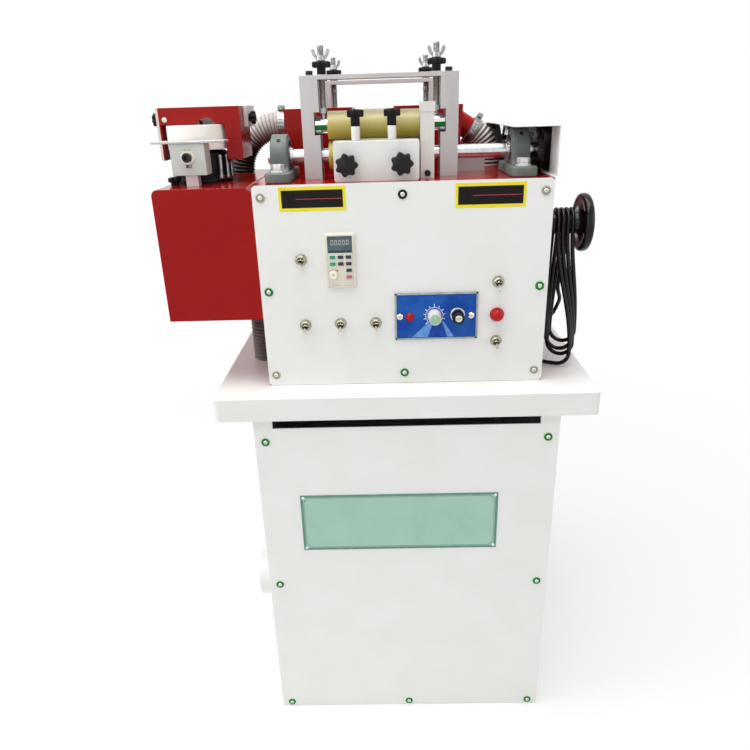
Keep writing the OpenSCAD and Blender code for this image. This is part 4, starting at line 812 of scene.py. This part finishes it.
def digit_zero(bm, x, z, y):
    """Seven-segment zero of six bars."""
    half_w, half_h, half_bar, upright, deep = 1.5, 3.2, 0.4, 2.5, 0.2
    for level in (z + half_h, z - half_h):
        sheet(bm, x - half_w, x + half_w, level - half_bar, level + half_bar, y, y + deep, 2)
    for side in (x - half_w, x + half_w):
        for foot in (z - half_h + half_bar, z + 0.3):
            sheet(bm, side - half_bar, side + half_bar, foot, foot + upright, y, y + deep, 2)


CTRL_X, CTRL_Z = 49, 750
CTRL_HALF_W, CTRL_HALF_H, CTRL_OUT, CTRL_RIM = 63, 37, 3, 3
ON_CONTROLLER = Matrix.Translation((CTRL_X, PANEL_FACE - CTRL_OUT, CTRL_Z))
# places on the controller, from its middle
KNOB_X, KNOB_Z, KNOB_LEN = -3, 1, 22
FUSE_X, FUSE_Z, FUSE_LEN = 32, 2, 22
CTRL_LAMP = -40
CTRL_SCREWS = (-55, 53)
RAY = [(-11, -8), (11, -8), (27, -33), (-37, -33)]
RAY_SHADE = [(-5, -9), (9, -9), (17, -33), (-13, -33)]
POWER_X, POWER_Z = 141, 750


def speed_controller():
    """Speed controller: dull frame, blue printed face with scale and ray, fuse holder and two screws."""
    bm = bmesh.new()
    w, h = CTRL_HALF_W, CTRL_HALF_H
    block(bm, (-w, 0, -h), (w, CTRL_OUT - 0.02, h), 0.7)
    block(bm, (10 - w, CTRL_OUT - 1, 8 - h), (w - 10, CTRL_OUT + 40, h - 8), 1, 3)
    for inset, front, mat in ((CTRL_RIM, -0.08, 3), (CTRL_RIM + 0.7, -0.15, 1)):
        sheet(bm, inset - w, w - inset, inset - h, h - inset, front, 0.3, mat)
    for x in (1.7 - w, w - 1.7):
        for z in (1.7 - h, h - 1.7):
            lathe(bm, [(1.5, 0), (1.5, 0.3), (1.0, 0.7)], (x, 0, z), -Y, 16, 3)
    front_plate(bm, RAY, -0.19, 0, 4)
    front_plate(bm, RAY_SHADE, -0.22, 0, 1)
    for i in range(11):
        a = radians(225 - 27 * i)
        c, s = cos(a), sin(a)
        near, far, half = 13, 17 if i % 5 else 19, 0.5
        tick = [(KNOB_X + r * c - t * s, KNOB_Z + r * s + t * c) for r, t in
                ((near, -half), (far, -half), (far, half), (near, half))]
        front_plate(bm, tick, -0.2, 0, 2)
    turns = range(225, -50, -5)
    ring = arc(13.4, KNOB_X, KNOB_Z, turns) + arc(12.6, KNOB_X, KNOB_Z, reversed(turns))
    front_plate(bm, ring, -0.2, 0, 2)
    for x in CTRL_SCREWS:
        cross_screw(bm, (x, 0, 0), -Y, 4.8, 5)
    at, end = (FUSE_X, 0, FUSE_Z), FUSE_LEN
    lathe(bm, [(10.6, 0.1), (10.9, 0.5), (10.9, 1.6), (10.2, 2)], at, -Y, 36, 5)
    cap = [(9.8, 1.8), (9.4, 12), (8.8, end - 0.8), (8, end), (6, end), (5.6, end - 0.4), (1, end - 0.4)]
    lathe(bm, cap, at, -Y, 48, 3, lobes=24, dip=0.04)
    lathe(bm, [(5.2, end - 0.5), (5.2, end + 0.1), (4.8, end + 0.3)], at, -Y, 28, 5)
    block(bm, (FUSE_X - 3.6, -end - 0.4, FUSE_Z - 0.5), (FUSE_X + 3.6, -end, FUSE_Z + 0.5), 0.1, 3)
    colours = [dull_frame, blue_print, white_print, phenolic, pale_print, nickel]
    piece("speed_controller_dressed", bm, colours, replaces=["controller_case"],
          matrix=ON_CONTROLLER)
    bm = bmesh.new()
    at, end = (KNOB_X, 0, KNOB_Z), KNOB_LEN
    skirt = [(3, -9), (3, 0.35), (10.8, 0.4), (11, 0.8), (10.8, 3), (10, 4.2), (9.4, end - 1.6),
             (8.8, end - 0.6)]
    lathe(bm, skirt, at, -Y, 72, lobes=18, dip=0.05)
    lathe(bm, [(7.4, end - 0.8), (7.4, end - 0.1), (7.0, end)], at, -Y, 36, 1)
    block(bm, (KNOB_X - 0.4, -end - 0.02, KNOB_Z + 1), (KNOB_X + 0.4, 0.4 - end, KNOB_Z + 6.6), 0.1, 2)
    moving("controller_knob", bm, [grey_abs, green_abs, white_print], ON_CONTROLLER)


def cross_screw(bm, at, axis, radius, mat=0):
    """Round head screw with a cross recess."""
    head = [(radius, 0), (radius, 0.4), (radius * 0.8, 1.5), (radius * 0.5, 2)]
    lathe(bm, head + [(radius * 0.42, 2, 4), (radius * 0.2, 0.9, 4)], at, axis, 24, mat)


def pilot_lamps():
    """Red lenses with moulded rims: a small one on the controller and the power lamp beside it."""
    bm = bmesh.new()
    small = (CTRL_X + CTRL_LAMP, -CTRL_OUT, CTRL_Z)
    lathe(bm, [(6.4, 0.05), (6.6, 0.3), (6.6, 1.2), (6.2, 1.6)], small, -Y, 40)
    lathe(bm, dome_profile(5.6, 1.2, 3.6), small, -Y, 40)
    large = (POWER_X, 0, POWER_Z)
    lathe(bm, [(10.4, 0.02), (10.8, 0.4), (10.8, 2.2), (10, 3), (9.6, 2.4)], large, -Y, 48)
    lathe(bm, [(8, -12), (8, 0.2)], large, -Y, 32, 1)
    lathe(bm, [(9.6, 1), (9.6, 6)] + dome_profile(9.4, 6.4, 8), large, -Y, 48)
    piece("pilot_lamps_dressed", bm, [red_acrylic, phenolic], replaces=["lamp_lenses"],
          matrix=ON_PANEL)


def dome_profile(radius, foot, rise):
    """Quarter-ellipse from a foot height up."""
    turns = [pi / 2 * i / 8 for i in range(9)]
    return [(max(radius * cos(a), 0.4), foot + rise * sin(a)) for a in turns]


LABELS = [(-177, -81, 911, 945), (75, 175.5, 909.5, 944)]
NAMEPLATE = (-174, 148, 358, 465)
# inset, width and corner cut of the nameplate's two lines
NAMEPLATE_LINES = ((0, 4.2, 0.2), (5.2, 0.8, 7))
PIN_INSET = 4.6


def bare_plates():
    """Two bare label plates on the head and the bare nameplate on the cabinet."""
    bm = bmesh.new()
    for x0, x1, z0, z1 in LABELS:
        middle = (z0 + z1) / 2
        sheet(bm, x0, x1, z0, z1, -0.3, -0.01)
        sheet(bm, x0 + 4, x1 - 4, z0 + 4.6, z1 - 4.6, -0.36, -0.2, 1)
        sheet(bm, x0 + 25, x1 - 6, middle - 0.4, middle + 0.4, -0.38, -0.2, 2)
    piece("label_plates", bm, [yellow_vinyl, black_vinyl, red_print], matrix=ON_PANEL)
    bm = bmesh.new()
    sheet(bm, *NAMEPLATE, -0.8, -0.01)
    for inset, width, cut in NAMEPLATE_LINES:
        border(bm, cut_corners(inset, cut), cut_corners(inset + width, cut), -0.88, -0.7, 1)
    for x, z in cut_corners(PIN_INSET, 0)[::2]:
        lathe(bm, [(2.4, 0.7), (2.4, 1.1), (1.6, 1.6)], (x, 0, z), -Y, 20, 2)
    piece("nameplate", bm, [mint_enamel, sage_line, white_print], matrix=ON_CABINET)


def cut_corners(inset, cut):
    """The nameplate's outline, set in, with its corners cut."""
    x0, x1, z0, z1 = NAMEPLATE
    x0, x1, z0, z1 = x0 + inset, x1 - inset, z0 + inset, z1 - inset
    return [(x0 + cut, z0), (x1 - cut, z0), (x1, z0 + cut), (x1, z1 - cut), (x1 - cut, z1), (x0 + cut, z1),
            (x0, z1 - cut), (x0, z0 + cut)]


# Feed head

FOOT_HALF_X, FOOT_HALF_Y, FOOT_CORNER, FOOT_H = 19, 63.5, 9, 14
PILLOWS_X = (span("pillow_blocks")[0].x + FOOT_HALF_X, span("pillow_blocks")[1].x - FOOT_HALF_X)
PILLOW_BOLT = 47.5
BLOCK_BASE = 33.35
BLOCK_R = 31.6


def hexagon(bm, at, axis, radius, height, mat=0):
    """Hexagon nut or bolt head with its corners chamfered."""
    flanks = [(radius * 0.93, 0, 6), (radius, 0.6, 6), (radius, height - 0.6, 6)]
    lathe(bm, flanks + [(radius * 0.88, height)], at, axis, 36, mat)


def socket_screw(bm, at, axis, radius, height, mat=0):
    """Cylinder head screw with a hexagon socket."""
    rim = [(radius, 0), (radius, height - 0.6), (radius - 0.6, height)]
    lathe(bm, rim + [(radius * 0.58, height, 6), (radius * 0.55, height * 0.45, 6)], at, axis, 36, mat)


def thread(bm, at, axis, radius, start, end, pitch, mat=0):
    """Screw thread drawn as close rings."""
    profile = []
    for i in range(int((end - start) / pitch)):
        profile += [(radius * 0.88, start + pitch * i), (radius, start + pitch * (i + 0.5))]
    lathe(bm, profile + [(radius * 0.88, end)], at, axis, 20, mat)


def star_knob(bm, at, axis, radius, stem_r, stem_h, height, mat=0, dip=0.3):
    """Seven-lobed knob: round stem, lobed grip with a rolled edge, and a low boss on top."""
    lathe(bm, [(stem_r * 0.94, 0), (stem_r, 0.6), (stem_r, stem_h + 0.5)], at, axis, 36, mat)
    top = stem_h + height
    grip = [(0.86, stem_h), (0.97, stem_h + 1), (1, stem_h + 2), (1, top - 2), (0.96, top - 0.8), (0.86, top)]
    lathe(bm, [(radius * share, along) for share, along in grip], at, axis, 84, mat, lobes=7, dip=dip)
    boss = [(0.5, top - 0.5), (0.46, top + 0.5), (0.4, top + 0.7)]
    lathe(bm, [(radius * share, along) for share, along in boss], at, axis, 36, mat)


def block_contour():
    """Side of a cast block: round top, straight cheeks and a concave sweep out over the feet; Y and Z."""
    side = [(BLOCK_R, 27), (31.9, 22.5), (32.9, 18.6), (34.6, 16), (36.8, 14.4), (39, 13.8), (39, 9)]
    return side[::-1] + arc(BLOCK_R, 0, BLOCK_BASE, range(0, 181, 6)) + [(-y, z) for y, z in side]


def cast_block(bm, at):
    """One bearing block: foot with round corners, swept body, rolled seat and dark seals round the insert."""
    at = Vector(at)
    foot = [(1.4, 0.02), (0, 1.2), (0, 11.6), (0.6, 13.2), (2, FOOT_H)]
    loft(bm, [[at + Vector((x, y, z)) for x, y in
               rounded_outline(FOOT_HALF_X - inset, FOOT_HALF_Y - inset, FOOT_CORNER - inset)]
              for inset, z in foot])
    rings = []
    for x, inset in ((-12, 1.6), (-11.4, 0.5), (-10.2, 0), (10.2, 0), (11.4, 0.5), (12, 1.6)):
        shrink = 1 - inset / BLOCK_R
        rings.append([at + Vector((x * (1.16 - z / 400), y * shrink, BLOCK_BASE + (z - BLOCK_BASE) * shrink))
                      for y, z in block_contour()])
    loft(bm, rings)
    hub = at + Z * (AXIS_Z - HEAD_TOP)
    lip = [(22, 11), (26.6, 11), (26.6, 12.9), (25.6, 13.8), (23, 13.8), (22, 13)]
    for axis in (-X, X):
        lathe(bm, lip, hub, axis, 48, closed=True)
        lathe(bm, [(15, 11), (22.2, 11), (22.2, 13.1), (15, 13.4)], hub, axis, 48, 1, closed=True)


def pillow_blocks():
    """Cast bearing blocks with insert rings and grub screws, bolts on washers and a grease hole."""
    blocks, bm = bmesh.new(), bmesh.new()
    ring = [(10.2, 13), (15.2, 13), (15.2, 15.4), (12.6, 15.9), (12.6, 17.6), (12, 18), (10.2, 18)]
    grub = [(1.8, 12.3), (1.8, 13), (1.0, 13, 6), (0.9, 12.4, 6)]
    slant = Z - 0.9 * Y
    for x in PILLOWS_X:
        for y in (FRONT_Y, REAR_Y):
            cast_block(blocks, (x, y, HEAD_TOP))
            # bright zinc bolts in front; black ones behind, for the oil on them and as painted shade on the
            # far side of the feet
            for side, plating in ((-1, 2), (1, 1)):
                lathe(bm, ring, (x, y, AXIS_Z), X * side, 40, closed=True)
                lathe(bm, grub, (x + side * 16.6, y, AXIS_Z), Z - Y, 18, 1)
                foot = Vector((x, y + side * PILLOW_BOLT, HEAD_TOP + FOOT_H))
                lathe(bm, [(10.5, 0.02), (11, 0.3), (11, 2), (10.5, 2.3)], foot, Z, 36, plating)
                lathe(bm, [(7.6, 2.3), (8.2, 2.5), (8.2, 4.2), (7.6, 4.4)], foot, Z, 36, plating)
                hexagon(bm, foot + Z * 4.4, Z, 9.6, 7, plating)
            hole = Vector((x, y, AXIS_Z)) + slant.normalized() * 31
            lathe(bm, [(3, 0), (3, 1.2), (2.4, 1.6), (1.8, 1.6), (1.5, 0.8)], hole, slant, 20, 1)
    piece("pillow_blocks_cast", blocks, [hammer_enamel, seal_rubber], replaces=["pillow_blocks"])
    piece("pillow_block_bolts", bm, [ground_steel, black_oxide, bright_zinc])


POST_X = 101
ROLLER_HALF, SHAFT_R = 77, 10.6


def feed_frames():
    """Posts and top plates with black socket screws."""
    softened("feed_frames", 0.9, anodised)
    bm = bmesh.new()
    for y in (FRONT_Y, REAR_Y):
        for x in (FEED_X - POST_X, FEED_X + POST_X):
            socket_screw(bm, (x, y, PLATE_TOP + 0.02), Z, 5.2, 6.5)
    piece("post_screws", bm, black_oxide)


def rollers():
    """Steel shafts with their sprockets, and amber sleeves on the lower and upper rollers."""
    for which, axis_y in FEEDS:
        def finish(at, normal, axis_y=axis_y):
            if hypot(at.y - axis_y, at.z - AXIS_Z) < SHAFT_R:
                return 0
            return 1 if abs(at.x - FEED_X) < ROLLER_HALF + 0.5 else 2
        lower, upper = f"{which}_lower_roller", f"{which}_upper_roller"
        metals = [ground_steel, polyurethane, chain_oil]
        softened(lower, 0.5, metals, finish, lower)
        softened(upper, 0.8, polyurethane, body=upper)


WING_Z = 1110
STUD_REACH = 83
STUD_R, STUD_FOOT, STUD_TOP = 4.6, 1046, 1130
HOUSING_TOP, HOUSING_SHELL = 13, 12
# angles in degrees, down from the front, of the green band painted on the housings as a reflection
GREEN_REFLECTION_BAND = (-4, 26)


def wing_nut(bm, at):
    """Stamped wing nut: round boss and two upswept ears."""
    lathe(bm, [(6.2, 0), (6.6, 0.6), (5.4, 7), (4.6, 7.4)], at, Z, 28)
    ear = [(4.6, 1.5), (8, 3), (11.2, 7.2), (13, 12.2), (12.4, 15), (10, 15.8), (8, 13.4), (6.4, 8), (4.6, 6)]
    for side in (-1, 1):
        loft(bm, [[Vector(at) + Vector((side * x, y, z)) for x, z in ear] for y in (-1.3, 1.3)])


def lifts():
    """Bearing housings on threaded studs, with wing nuts over the black star knobs."""
    for which, axis_y in FEEDS:
        body = f"{which}_lift"

        def finish(at, normal, axis_y=axis_y):
            """Zinc on the studs, and a green band along the front of the chromed housings, a painted
            reflection.
            """
            if at.z > UPPER_Z + HOUSING_TOP:
                return 1
            down, out = UPPER_Z - at.z, axis_y - at.y
            lean = degrees(atan2(down, out))
            on_reflection_band = GREEN_REFLECTION_BAND[0] < lean < GREEN_REFLECTION_BAND[1]
            return 2 if on_reflection_band and hypot(down, out) > HOUSING_SHELL else 0
        softened(body, 0.5, [chrome, zinc_plate, green_nylon], finish, body, WING_Z - 40)
        bm = bmesh.new()
        studs = (FEED_X - STUD_REACH, FEED_X + STUD_REACH)
        for x in studs:
            thread(bm, (x, axis_y, 0), Z, STUD_R, STUD_FOOT + 2, PLATE_TOP + 4, 2.5, 1)
            thread(bm, (x, axis_y, 0), Z, STUD_R, PLATE_TOP + 3, STUD_TOP, 1.25)
            wing_nut(bm, (x, axis_y, WING_Z))
            if which == "rear":
                hexagon(bm, (x, axis_y, PLATE_TOP - 20), Z, 4.9, 7)
        piece(body + "_threads", bm, [zinc_plate, worn_oxide], body)
        for x, name in zip(studs, ("left", "right")):
            bm = bmesh.new()
            at = (x, axis_y, PLATE_TOP + 0.25)
            star_knob(bm, at, Z, 14, 6.5, 10, 8)
            lathe(bm, [(7.2, 0), (7.2, 0.8), (6.6, 1.2)], at, Z, 36, 1)
            moving(f"{which}_knob_{name}", bm, [nylon, zinc_plate])


PINS = (("guide_pin_left", -65), ("guide_pin_right", -13))
PIN_Y = -166
GUIDE_TOP = 1003
SIDE_BAR_END = 60


def is_side_bar(at, normal):
    return int(at.x < SIDE_BAR_END)


def guides():
    """Guide bed with its front plate, the support bars, and two sleeved guide pins under star knobs."""
    softened("guide_bed", 0.7, anodised)
    softened("guide_plate", 0.8, white_coat)
    softened("support_bars", 0.8, [anodised, ground_aluminium], is_side_bar)
    sleeve = [(3.9, -16), (3.9, 0.2), (6.1, 0.3), (6.25, 0.6), (6.25, 18.6), (5.9, 19)]
    for node, x in PINS:
        bm = bmesh.new()
        lathe(bm, sleeve, (x, PIN_Y, GUIDE_TOP), Z, 36)
        star_knob(bm, (x, PIN_Y, GUIDE_TOP + 19), Z, 12.5, 6.6, 12, 10, 1)
        moving(node, bm, [white_nylon, nylon])


HOOD_LOW, HOOD_HIGH = span("station_hood")
PIVOT_Y, PIVOT_Z = -70, 1037
ARM_OUT = 6.3
# the left knob of the hood is unscrewed a little, so its stem is longer
HOOD_KNOBS = ((HOOD_LOW.x - ARM_OUT, -X, 8.5), (HOOD_HIGH.x + ARM_OUT, X, 3))
GUIDE_KNOBS = ((-78, -188, 972), (0, -188, 972))
STATION_KNOB = (-341, -144, STATION_TOP)
CLAMP_AT = Vector((-307, -178, 987))
SIDE_BAR_SCREW = (38, -162, 955)


def clamp_knobs():
    """Star knobs that clamp the guide plate and the hood, and the socket screw of the station guide."""
    bm = bmesh.new()
    for at in GUIDE_KNOBS:
        star_knob(bm, at, -Y, 16.5, 8, 8, 10, 3, 0.2)
        lathe(bm, [(4, 0), (4, 14)], at, Y, 24, 1)
    for x, axis, stem in HOOD_KNOBS:
        at = (x, PIVOT_Y, PIVOT_Z)
        star_knob(bm, at, axis, 10, 6, stem, 7)
        lathe(bm, [(4, 0), (4, 12)], at, -axis, 24, 1)
    star_knob(bm, STATION_KNOB, Z, 9.5, 6, 4, 7)
    lathe(bm, [(9.8, 0.3), (10, 0.5), (10, 1.6), (9.8, 1.8)], CLAMP_AT, -Y, 40, 2)
    socket_screw(bm, CLAMP_AT - 1.8 * Y, -Y, 6.5, 8.2, 1)
    lathe(bm, [(4, -1), (4, 17)], CLAMP_AT, Y, 24, 1)
    socket_screw(bm, SIDE_BAR_SCREW, -Y, 4.5, 4.5, 1)
    finishes = [nylon, black_oxide, ivory_abs, phenolic]
    piece("clamp_knobs_dressed", bm, finishes, replaces=["clamp_knobs"])


# Chain drive

CHAIN_X = 204.5
CHAIN_PITCH = 9.525
TEETH = 18
PITCH_R = CHAIN_PITCH / (2 * sin(pi / TEETH))
SPROCKETS = [Vector((FRONT_Y, AXIS_Z)), Vector((REAR_Y, AXIS_Z)), Vector((-16, HEAD_TOP - 80))]
TURN_STEPS = 24
LINK_R, WAIST_R, LINK_SHEET = 3.9, 2.9, 1


def chain_points():
    """Joints of the chain in Y and Z, evenly spaced round the three sprockets."""
    legs = []
    for i, a in enumerate(SPROCKETS):
        b = SPROCKETS[(i + 1) % 3]
        way = (b - a).normalized()
        legs.append((a, b, Vector((-way.y, way.x))))
    path = []
    for i, (a, b, normal) in enumerate(legs):
        path += [a + PITCH_R * normal, b + PITCH_R * normal]
        turn = normal.angle_signed(legs[(i + 1) % 3][2])
        for k in range(1, TURN_STEPS):
            lean = atan2(normal.y, normal.x) - turn * k / TURN_STEPS
            path.append(b + PITCH_R * Vector((cos(lean), sin(lean))))
    path.append(path[0])
    count = 2 * round(path_length(path) / CHAIN_PITCH / 2)
    return evenly(path, count)[:-1]


def drive_chain():
    """Roller chain: rollers on every joint, waisted plates that lie inside and outside by turns."""
    bm = bmesh.new()
    joints = chain_points()
    for k, a in enumerate(joints):
        b = joints[(k + 1) % len(joints)]
        way = (b - a).normalized()
        side = Vector((-way.y, way.x))
        near = 3.7 if k % 2 else 2.5
        outline = []
        for point, heading, waist in ((a, pi / 2, -WAIST_R), (b, -pi / 2, WAIST_R)):
            for j in range(7):
                lean = heading + pi * j / 6
                outline.append(point + LINK_R * (cos(lean) * way + sin(lean) * side))
            outline.append(a.lerp(b, 0.5) + waist * side)
        for face in (-1, 1):
            loft(bm, [[(CHAIN_X + face * x, p.x, p.y) for p in outline] for x in (near, near + LINK_SHEET)])
        lathe(bm, [(2.5, -2.4), (2.5, 2.4)], (CHAIN_X, *a), X, 14)
        lathe(bm, [(1.6, -5.1), (1.6, 5.1)], (CHAIN_X, *a), X, 10)
    piece("drive_chain_links", bm, chain_oil, replaces=["drive_chain"])
    softened("motor_sprocket", 0.4, chain_oil, body="motor_sprocket")
    softened("feed_motor", 1.2, motor_enamel)


# Dust suction

HOSE_R = 23
HOSE_BORE = 20
RIB_PITCH, RIB_DEPTH, RIB_STEPS = 6, 2.6, 6
DUCT_Y = 38
# hoses A and B: X and Z where the bend starts, its radius, and B's tilt; hose C hangs at an X and Y
HOSE_A = (-202, 1022, 73)
HOSE_B = (128, 1003, 54, radians(33))
HOSE_C = (-240, -73)
STATION_DEPTH = 196


def ribbed(bm, path, crest, groove):
    """Hose along a path, with a rib every few millimetres, painted shade in the grooves and open ends."""
    count = int(path_length(path) / RIB_PITCH * RIB_STEPS)
    radii = [HOSE_R - RIB_DEPTH * abs(sin(pi * k / RIB_STEPS)) ** 1.6 for k in range(count + 1)]
    tube(bm, evenly(path, count), radii, 40, (crest, crest, groove, groove, crest, crest), HOSE_BORE)


def bend_points(x, z, radius, start, end):
    """Points of a bend in the ducts' plane."""
    angles = [start + (end - start) * i / 40 for i in range(41)]
    return [Vector((x + radius * cos(a), DUCT_Y, z + radius * sin(a))) for a in angles]


def suction_hoses():
    """Three ribbed hoses: cover to station, cover to head, and station to table."""
    bm = bmesh.new()
    x, z, radius = HOSE_A
    bend = bend_points(x, z - radius, radius, pi / 2, pi)
    ribbed(bm, [Vector((x + 14, DUCT_Y, z))] + bend + [Vector((x - radius, DUCT_Y, STATION_TOP))], 1, 3)
    left = Matrix.Translation((x + 10, DUCT_Y, z)) @ Matrix.Rotation(-pi / 2, 4, "Y")
    x, z, radius, tilt = HOSE_B
    way = Vector((cos(tilt), 0, -sin(tilt)))
    start = Vector((x, DUCT_Y, z))
    hub_x, hub_z = x - radius * sin(tilt), z - radius * cos(tilt)
    path = [start - 9 * way] + bend_points(hub_x, hub_z, radius, pi / 2 - tilt, 0)
    ribbed(bm, path + [Vector((hub_x + radius, DUCT_Y, HEAD_TOP))], 0, 3)
    right = Matrix.Translation(start - 8 * way) @ Matrix.Rotation(pi / 2 + tilt, 4, "Y")
    ribbed(bm, [Vector((*HOSE_C, STATION_TOP - STATION_DEPTH)), Vector((*HOSE_C, TABLE_TOP))], 2, 2)
    vinyls = [hose_vinyl, hose_with_painted_shade, dark_hose, groove_painted_shade]
    piece("suction_hoses_ribbed", bm, vinyls, replaces=["suction_hoses"], smooth=60)
    worm_clamp("hose_clamp_left", left @ Matrix.Rotation(-pi / 2, 4, "Z"), 12)
    worm_clamp("hose_clamp_right", right @ Matrix.Rotation(pi / 2, 4, "Z"), 9)


def worm_clamp(name, matrix, wide):
    """Worm-drive clamp: slotted band, housing and a hexagon screw across the band."""
    bm = bmesh.new()
    inside, outside = HOSE_R + 0.1, HOSE_R + 1.4
    band = [(inside, 0), (outside - 0.3, 0), (outside, 0.3), (outside, wide - 0.3), (outside - 0.3, wide),
            (inside, wide)]
    lathe(bm, band, (0, 0, 0), Z, 72, closed=True)
    for i in range(22):
        a = radians(125 + 13.6 * i)
        c, s = cos(a), sin(a)
        slot = [(outside * c - t * s, outside * s + t * c) for t in (-0.5, 0.5)]
        out = [(x * 1.006, y * 1.006) for x, y in slot[::-1]]
        loft(bm, [[(x, y, h) for x, y in slot + out] for h in (2, wide - 2)], 1)
    block(bm, (-8, HOSE_R + 0.6, 0.4), (8, HOSE_R + 8, wide - 0.4), 1.4)
    screw = (0, HOSE_R + 4.6, wide / 2)
    lathe(bm, [(3.3, -9.5), (3.6, -9), (3.6, 6), (3, 9)], screw, X, 24)
    hexagon(bm, Vector(screw) + 8.2 * X, X, 4.2, 4)
    piece(name, bm, [zinc_plate, black_oxide], replaces=["hose_clamps"], matrix=matrix)


# Side polishing station

WHEEL_X, WHEEL_Y = -311, -90
MOTOR_STUDS, MOTOR_STUD_R = (-38, -19, 3, 140, 220), 45.5
MOTOR_CAP_R = 41
REST_FOOT = 1005.9
CARRIAGE_PLATE = 931


def below_rest(at, normal):
    return int(at.z < REST_FOOT)


def below_carriage(at, normal):
    return int(at.z < CARRIAGE_PLATE)


def station():
    """Red station box with hood and bracket, the guide with its rest plate, the motors and the carriage."""
    softened("station_box", 1.0, [red_coat, red_flat], lies_flat)
    softened("station_hood", 1.4, red_coat, body="station_hood")
    softened("hood_bracket", 0.7, ground_aluminium)
    softened("station_guide", 0.6, [anodised, grey_coat], below_rest, "station_guide")
    softened("polish_motors", 0.9, motor_enamel)
    softened("polish_carriage", 0.7, [ground_steel, motor_enamel], below_carriage,
             "polish_carriage")
    bm = bmesh.new()
    for x, y in arc(MOTOR_STUD_R, WHEEL_X, WHEEL_Y, MOTOR_STUDS):
        at = (x, y, STATION_TOP + 5)
        hexagon(bm, at, Z, 4.6, 5)
        lathe(bm, [(3, 0), (3, 34), (2.6, 34.6)], at, Z, 20)
        lathe(bm, [(4.2, 31), (4.2, 33.5)], at, Z, 24)
    piece("station_motor_bolts", bm, zinc_plate)
    bm = bmesh.new()
    side = MOTOR_CAP_R + 0.8
    cap = [(8, 0.02), (MOTOR_CAP_R, 0.02), (side, 0.8), (side, 5), (MOTOR_CAP_R - 3, 7.4), (8, 8.4)]
    lathe(bm, cap, (WHEEL_X, WHEEL_Y, span("polish_motors")[1].z), Z, 60, closed=True)
    piece("station_motor_cap", bm, motor_enamel)
    bm = bmesh.new()
    cross_screw(bm, (HOOD_LOW.x + 9, HOOD_LOW.y, PIVOT_Z), -Y, 4)
    piece("hood_screw", bm, nickel, "station_hood")


def polishing_wheels():
    """Pressed felt wheels on steel hubs of a given radius."""
    for node, hub in (("station_wheel", 9.7), ("polish_wheel_left", 6.7), ("polish_wheel_right", 6.7)):
        def is_felt(at, normal, middle=centre(node), hub=hub):
            return int(hypot(at.x - middle.x, at.y - middle.y) > hub)
        softened(node, 1.6, [ground_steel, wool_felt], is_felt, node)


# Handwheel

HAND_X = HEAD_SIDE + 57
HAND_R = 44
SIDE_SCREW = (HEAD_SIDE + 0.02, -150, 922)


def handwheel():
    """Solid phenolic handwheel: hub, dished web and a thick rounded rim, on the lead screw."""
    bm = bmesh.new()
    at, foot = (HAND_X, SCREW_Y, SCREW_Z), HEAD_SIDE - HAND_X
    hub = [(12, foot + 0.3), (HUB_R - 0.8, foot + 0.3), (HUB_R, foot + 1.2), (HUB_R, -4), (HUB_R + 2, -1),
           (HUB_R + 6, 0.6)]
    rim = [(12, 0.9), (7, 0.3), (3, 0), (1, 1.4), (0, 4.2), (0, 8.6), (1, 11.6), (3.6, 13.6), (7, 14),
           (12, 13), (16, 10), (19, 8.2)]
    dish = [(14, 8), (12, 8.6), (10, 8.6)]
    lathe(bm, hub + [(HAND_R - inset, out) for inset, out in rim] + dish, at, X, 72)
    lathe(bm, [(6, 8), (6, 10), (5.4, 10.6)], at, X, 24, 1)
    thread(bm, at, X, 6, span("handwheel")[0].x + 1 - HAND_X, foot - 20, 3, 1)
    lathe(bm, [(6, foot - 20.5), (6, foot + 2)], at, X, 24, 1)
    moving("handwheel", bm, [phenolic, ground_steel])
    bm = bmesh.new()
    cross_screw(bm, SIDE_SCREW, X, 4.5)
    piece("head_side_screw", bm, zinc_plate)


aim_camera()
light_stage()
mains_cord()
cabinet_and_head()
panel_screws()
toggle_switches()
keypad()
speed_controller()
pilot_lamps()
bare_plates()
pillow_blocks()
feed_frames()
rollers()
lifts()
guides()
clamp_knobs()
drive_chain()
suction_hoses()
station()
polishing_wheels()
handwheel()

bpy.context.scene.view_settings.view_transform = "Standard"
